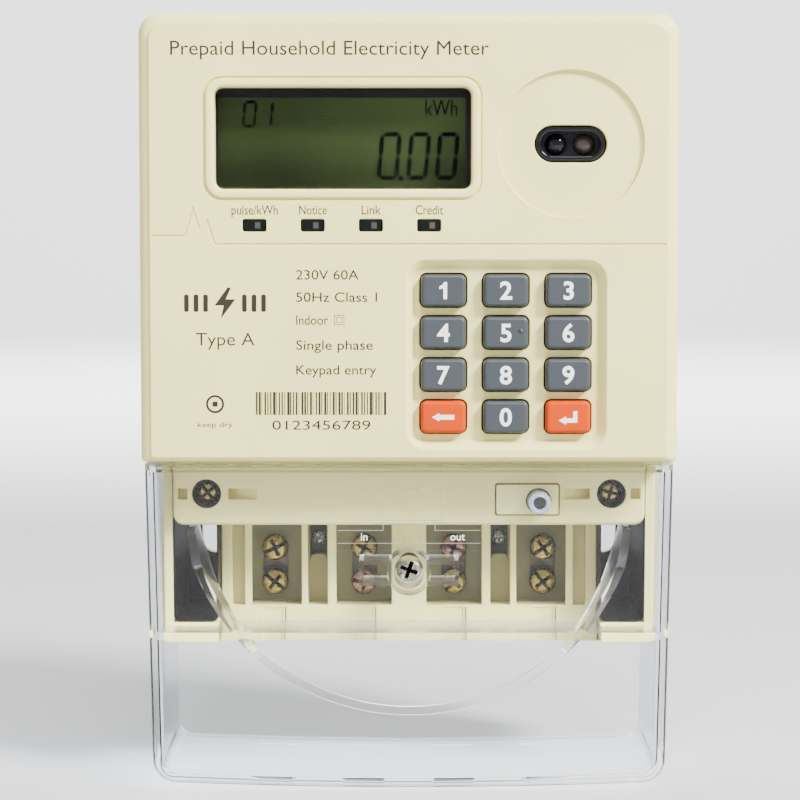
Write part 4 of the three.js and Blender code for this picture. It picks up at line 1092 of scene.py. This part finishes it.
# %% Clear cover: ribs
screw_z = middle("cover_screw")[1]
sheet_back = cover_front + SHEET - 0.4
RIB_BACK = cover_front + 12.4
ribs = [block(-59.5, 59.5, sheet_back, -34.7, -54.8, -53.0)]
for side in (-1, 1):
    near, far = sorted((side * 4.0, side * 11.6))
    ribs += [block(near, far, sheet_back, RIB_BACK, z, z + 1) for z in (-37.1, -42.1)]
    end = 10.6 if side > 0 else -11.6
    ribs.append(block(end, end + 1, sheet_back, RIB_BACK, -42.0, -36.2))
ribs.append(prism(circle(plunger_x, plunger_z, 2.0, 40), sheet_back, LEDGE_Y - 6))
ribs.append(prism(circle(0, screw_z, 5.1, 64), sheet_back, cover_front + 13.4))
ARC_Z, ARC_OUTER, ARC_INNER = -18.9, 53.5, 51.5


def arc_rib(steps=97):
    """Part of a ring about (0, ARC_Z). Its back edge y(z) keeps 3.4 mm behind the sheet at the foot and runs
    deeper as a straight ramp above. Its front edge leaves the sheet near the ends, so each end is a free
    blade."""
    a = np.linspace(np.radians(-168), np.radians(-12), steps)
    rows = []
    for r in (ARC_INNER, ARC_OUTER):
        z = ARC_Z + r * np.sin(a)
        back = np.interp(z, [-57.0, -36.0, -29.0], [cover_front + 3.4, -33.0, -33.0])
        front = np.interp(z, [-38.0, -30.0], [sheet_back, cover_front + 10.0])
        rows.append((r * np.cos(a), front, back, z))
    (xi, fi, bi, zi), (xo, fo, bo, zo) = rows
    ring = np.stack([np.stack([xi, fi, zi], 1), np.stack([xo, fo, zo], 1), np.stack([xo, bo, zo], 1),
                     np.stack([xi, bi, zi], 1)], 1)
    end = np.arange(4)
    return ring.reshape(-1, 3), [*grid_faces(steps, 4), end, end + 4 * (steps - 1)]


ribs.append(solid(arc_rib()))
combine(tray, "UNION", ribs)
print("with ribs:", len(tray.data.polygons), "faces")

# %% Clear cover: screw well, knock-outs, drawn panel
cuts = [prism(circle(0, screw_z, 3.4, 48), cover_front - 1, cover_front + 10.6),
        prism(circle(0, screw_z, 2.2, 40), cover_front, cover_front + 15),
        block(-18.6, 18.6, cover_front - 1, cover_front + 0.25, -33.6, -16.4)]
KNOCK_HALF, KNOCK_TALL = 4.9, 0.6
for x in terminal_at:
    knock_top = cover_z0 + BOW * (x / cover_x1) ** 2 + KNOCK_TALL
    cuts.append(block(x - KNOCK_HALF, x + KNOCK_HALF, cover_front + 4.5, -12, cover_z0 - 1, knock_top))
combine(tray, "DIFFERENCE", cuts)
cover_made = piece("terminal_cover_moulding", [taken(tray)], clear, "terminal_cover", ["terminal_cover"],
                   28)
cover_made.data.materials.append(clear_rib)
cover_made.data.materials.append(clear_side_shade)
centres = np.array([p.center[:] for p in cover_made.data.polygons]) / MM
in_tray = ((centres[:, 1] > cover_front + SHEET + 0.05) & (np.abs(centres[:, 0]) < cover_x1 - SHEET - 1.9)
           & (centres[:, 2] > cover_z0 + SHEET + 2) & (centres[:, 2] < cover_z1 - SHEET - 0.1))
# Painted shade: the side walls take the darker grey-blue copy of the clear material.
at_side = (np.abs(centres[:, 0]) > cover_x1 - SHEET - 1.5) & (centres[:, 1] > cover_front + 2.5)
cover_made.data.polygons.foreach_set("material_index", np.where(at_side, 2, in_tray).astype(np.int32))
print("clear cover:", len(cover_made.data.polygons), "faces")

# %% [markdown]
# ## The wiring diagram on the cover
#
# A wiring diagram stands in a shallow panel of the sheet: a box for the meter and four lines to the
# terminals, as frosted ribbons, and two white words. It rides with the cover.

# %% Wiring diagram
DIAGRAM_FRONT, DIAGRAM_BACK, STROKE = cover_front + 0.09, cover_front + 0.3, 0.17
lines = [[(-7.6, -19.4), (7.6, -19.4), (7.6, -26.6), (-7.6, -26.6), (-7.6, -19.41)],
         [(-2.2, -19.3), (-2.2, -17.4), (2.2, -17.4), (2.2, -19.3)],
         *([(x, -26.7), (x, z), (16.5 * side, z)]
           for x, z, side in ((-6, -28.9, -1), (-2, -31.9, -1), (2, -31.9, 1), (6, -28.9, 1)))]
diagram = [part for line in lines for part in slab([ribbon(line, STROKE)], DIAGRAM_FRONT, DIAGRAM_BACK)]
piece("cover_diagram", diagram, frosted, "terminal_cover", (), 30)
words = [letters(word, x, -31.2, 1.7, DIAGRAM_FRONT, 0.2, None, 0.0, align)
         for word, x, align in (("in", -9.6, 1.0), ("out", 9.6, 0.0))]
piece("cover_words", words, white_ink, "terminal_cover", (), 30)

# %% [markdown]
# ## Print on the face
#
# The face carries plain grey print: a title, a word over each lamp, a few ratings, a row of stripes and
# three simple marks. It is thin raised ink, so each line is a mesh sunk slightly into the face, and all of
# it is one piece.

# %% Print
INK_FRONT, INK_THICK = face_y - 0.02, 0.05


def line_of(words, x, z, cap, width=None, align=0.0, weight=0.0):
    return letters(words, x, z, cap, INK_FRONT, INK_THICK, width, weight, align)


def mark(outlines):
    return slab(outlines, INK_FRONT, INK_FRONT + INK_THICK)


printed = [line_of("Prepaid Household Electricity Meter", -54.4, 80.15, 3.2, 72.6)]
LAMP_WORDS = (("pulse/kWh", 10.6), ("Notice", 6.3), ("Link", 4.4), ("Credit", 6.3))
for (word, width), (x, z) in zip(LAMP_WORDS, lamp_at):
    printed.append(line_of(word, x + 0.1, z + 2.5, 2.1, width, 0.5, 0.004))
RATINGS = [("230V 60A", 30.1, 14.4), ("50Hz Class 1", 25.0, 18.6), ("Indoor", 19.75, 7.4),
           ("Single phase", 14.0, 17.6), ("Keypad entry", 8.3, 18.4)]
RATING_X, RATING_CAP = -25.9, 2.15
for words, z, width in RATINGS:
    printed.append(line_of(words, RATING_X, z - RATING_CAP / 2, RATING_CAP, width, 0, 0.004))
SQUARE_X, SQUARE_Z = -16.0, 19.75
for half, thick in ((1.15, 0.14), (0.65, 0.12)):
    square = corners(SQUARE_X - half, SQUARE_X + half, SQUARE_Z - half, SQUARE_Z + half)
    printed += mark([square, inset(square, thick)])
bolt = np.array([(0.6, 3.6), (-2.4, -0.5), (-0.3, -0.5), (-1.0, -3.6), (2.4, 0.9), (0.2, 0.9), (1.4, 3.6)])
BOLT_X, BOLT_Z, BAR = -42.2, 23.6, 1.1
printed += mark([bolt + (BOLT_X, BOLT_Z)])
for reach in (5.0, 7.2, 9.4):
    for x in (BOLT_X - reach, BOLT_X + reach - BAR):
        printed += mark([rounded(x, x + BAR, BOLT_Z - 2, BOLT_Z + 2, 0.4, 3)])
printed.append(line_of("Type A", BOLT_X, 13.9, 2.9, 13.5, 0.5, -0.002))
RING_X, RING_Z = -44.6, 0.4
printed += mark([circle(RING_X, RING_Z, r) for r in (2.1, 1.6)])
printed += mark([around(RING_X, RING_Z, 0.6, 0.6, 0.2, 3)])
printed.append(line_of("keep dry", RING_X, -4.9, 1.15, 8.0, 0.5))
STRIPES, STRIPE_X0, STRIPE_X1 = 46, -35.2, -5.1
pitch = (STRIPE_X1 - STRIPE_X0) / STRIPES
stripe = np.arange(STRIPES)
for i, w in enumerate(pitch * (0.5 + 0.26 * np.sin(stripe * 2.4) + 0.12 * np.cos(stripe * 1.1))):
    printed += mark([corners(STRIPE_X0 + i * pitch, STRIPE_X0 + i * pitch + w, -2.1, 3.2)])
printed.append(line_of("0123456789", (STRIPE_X0 + STRIPE_X1) / 2, -5.5, 2.1, 22.6, 0.5))
piece("face_print", printed, ink, "case", (), 30)

# %% Numbers over the terminals
numerals = [letters(str(i + 1), x - 0.1, -54.1, 2.0, block_y0 + 0.22, 0.3, None, -0.01, 0.5)
            for i, x in enumerate(terminal_at)]
piece("terminal_numerals", numerals, cream, "case", (), 30)
print("print lines:", len(printed))

# %% [markdown]
# ## Rear case
#
# The rear case is a deep tub above and a shallower tray below, open to the front, with two slots and a
# pocket for the sliding hanger in its back. Its back is panelled so that it stays flat. Solid shapes and
# exact Booleans are the plain way to make it, because its hollows cross one another. The two side bays get
# a near-black sheet over their back and walls: painted shade for the deep shade in the bays.

# %% Rear case: tub and tray
(rear_x0, rear_x1), (tray_front, wall_y), (tray_z0, rear_top) = span("rear_case")
TRAY_HALF, TUB_FRONT, BACK_WALL = 58.2, -23.7, 2.5


def tub_outline(d, foot=0.0):
    return rounded(rear_x0 + d, rear_x1 - d, SPLIT_Z + foot, rear_top - d, (1, 4.6 - 0.6 * d), 10)


def tray_outline(d):
    return rounded(-TRAY_HALF + d, TRAY_HALF - d, tray_z0 + d, SPLIT_Z - 0.3, (1.2, 0.1), 5)


BACK_EDGE = [(d, wall_y - y) for d, y in ((0, 1.5), (0.12, 0.9), (0.45, 0.4), (0.9, 0.1), (1.4, 0))]
tub = shell([(tub_outline(0), TUB_FRONT), *((tub_outline(d), y) for d, y in BACK_EDGE)])
tray_rings = [(0.35, tray_front), (0.1, tray_front + 0.1), (0, tray_front + 0.35), *BACK_EDGE]
lower_tray = shell([(tray_outline(d), y) for d, y in tray_rings])
bridge = block(-TRAY_HALF + 1, TRAY_HALF - 1, TUB_FRONT + 0.1, wall_y - 1, SPLIT_Z - 3, SPLIT_Z + 3)
combine(tub, "UNION", [lower_tray, bridge])
inside_tub = prism(tub_outline(WALL, WALL), TUB_FRONT - 3, wall_y - BACK_WALL)
inside_tray = block(-56.0, 56.0, tray_front - 1, wall_y - BACK_WALL, -52.6, SPLIT_Z + 5)
block_seat = block(block_x0 - 0.3, block_x1 + 0.3, tray_front - 1, wall_y - BACK_WALL, tray_z0 - 1, -51.6)
combine(tub, "DIFFERENCE", [inside_tub, inside_tray, block_seat])
print("rear case shell:", len(tub.data.polygons), "faces")

# %% Rear case: hanger pocket, posts, slots and panels
(hang_x0, hang_x1), _, _ = span("hanger")
combine(tub, "UNION", [block(-16, 16, -7, -1, 56, rear_top - 1.6),
                       *[prism(circle(s * seal_x, seal_z, 4.2, 40), block_y0 - 0.7, -1) for s in (-1, 1)]])
SLOT_X, SLOT_R, SLOT_Z = 49.0, 3.3, (-40.9, -29.7)
fixing_slots = [rounded(s * SLOT_X - SLOT_R, s * SLOT_X + SLOT_R, *SLOT_Z, SLOT_R - 0.01, 10)
                for s in (-1, 1)]
openings = [block(hang_x0 - 0.3, hang_x1 + 0.3, -4.3, -1.2, 58, rear_top + 2),
            prism(rounded(-9, 9, 58, rear_top + 3, 1.5, 6), -1.3, 1),
            *[prism(o, -4, 1) for o in fixing_slots]]
PANEL_PITCH, PANEL_HALF, PANEL_DEPTH = 37.5, 16.5, 0.6
for x in (-PANEL_PITCH, 0, PANEL_PITCH):
    for low, high in ((-6, 22), (26, 54)):
        panel_outline = rounded(x - PANEL_HALF, x + PANEL_HALF, low, high, 3)
        openings.append(shell([(panel_outline, wall_y + 0.5), (panel_outline, wall_y),
                               (inset(panel_outline, 0.4), wall_y - PANEL_DEPTH)]))
combine(tub, "DIFFERENCE", openings)
rear_case = piece("rear_case_moulding", [taken(tub)], cream, "case", ["rear_case"], 28)
print("rear case:", len(rear_case.data.polygons), "faces")

# %% Rear case: painted shade sheets in the side bays
# Painted shade: each side bay gets a near-black sheet over its back and walls, with the fixing slot left
# open, standing for the deep shade in the bay.
SHADE_SHEET_THICK, SHADE_SHEET_FRONT, SHADE_SHEET_FLOOR, SHADE_SHEET_BACK = 0.3, tray_front + 0.6, -2.9, -2.55
for (name, side), slot_outline in zip(SIDES, fixing_slots):
    x0, x1 = sorted((side * (block_x1 + 0.1), side * 55.9))
    bay = rounded(x0, x1, -52.5, SPLIT_Z - 0.5, 1.6, 6)
    inner = inset(bay, SHADE_SHEET_THICK)
    shade_sheet = [loft([(bay, SHADE_SHEET_BACK), (bay, SHADE_SHEET_FRONT)]), flat([bay, inner], SHADE_SHEET_FRONT),
              loft([(inner, SHADE_SHEET_FRONT), (inner, SHADE_SHEET_FLOOR)]), flat([inner, slot_outline], SHADE_SHEET_FLOOR),
              loft([(slot_outline, SHADE_SHEET_FLOOR), (slot_outline, SHADE_SHEET_BACK)]),
              flat([bay, slot_outline], SHADE_SHEET_BACK)]
    piece("bay_liner_" + name, shade_sheet, bay_shade, "case", (), 35)

# %% [markdown]
# ## Works inside
#
# The board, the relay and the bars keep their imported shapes, because only a sliver of them is ever seen.
# Each gets its own finish, and those whose edges catch the light also get a small rounding.

# %% Finishes of the works
def dress(nodes, finish, rounding=0.0):
    """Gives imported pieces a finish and, where asked, an edge rounding in mm on their merged edges."""
    for node in nodes:
        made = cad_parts[node]
        made.data.materials.clear()
        made.data.materials.append(finish)
        if rounding:
            weld = made.modifiers.new("weld", "WELD")
            weld.merge_threshold = 1e-6
            edge = made.modifiers.new("rounding", "BEVEL")
            edge.width, edge.segments = rounding * MM, 2
            edge.limit_method, edge.angle_limit = "ANGLE", math.radians(40)
            edge.harden_normals = True


solder_green = moulded("board_lacquer", (0.012, 0.085, 0.03), 0.3, 0.5, 0.01)
relay_blue = moulded("relay_plastic", (0.02, 0.03, 0.06), 0.45, 0.25, 0.01)
tape_yellow = moulded("transformer_tape", (0.55, 0.36, 0.03), 0.4, 0.6, 0.02)
sleeve = moulded("capacitor_sleeve", (0.01, 0.014, 0.03), 0.25, 0.5, 0.004)
dress(["case_gasket", "keypad_mat"], rubber)
dress(["hanger"], steel, 0.3)
dress(["current_shunt", "backup_battery"], steel)
dress([f"terminal_clamp_{i}" for i in (1, 2, 3, 4)], brass)
dress(["input_busbar", "relay_busbar", "neutral_busbar", "output_busbar"], copper, 0.2)
dress(["main_board"], solder_green)
dress(["supply_transformer"], tape_yellow, 0.8)
dress(["latching_relay"], relay_blue, 0.6)
dress(["storage_capacitor"], sleeve, 0.5)
dress(["buzzer", "cover_microswitch", "display_holder"], black)
dress(["display_panel"], olive.material)
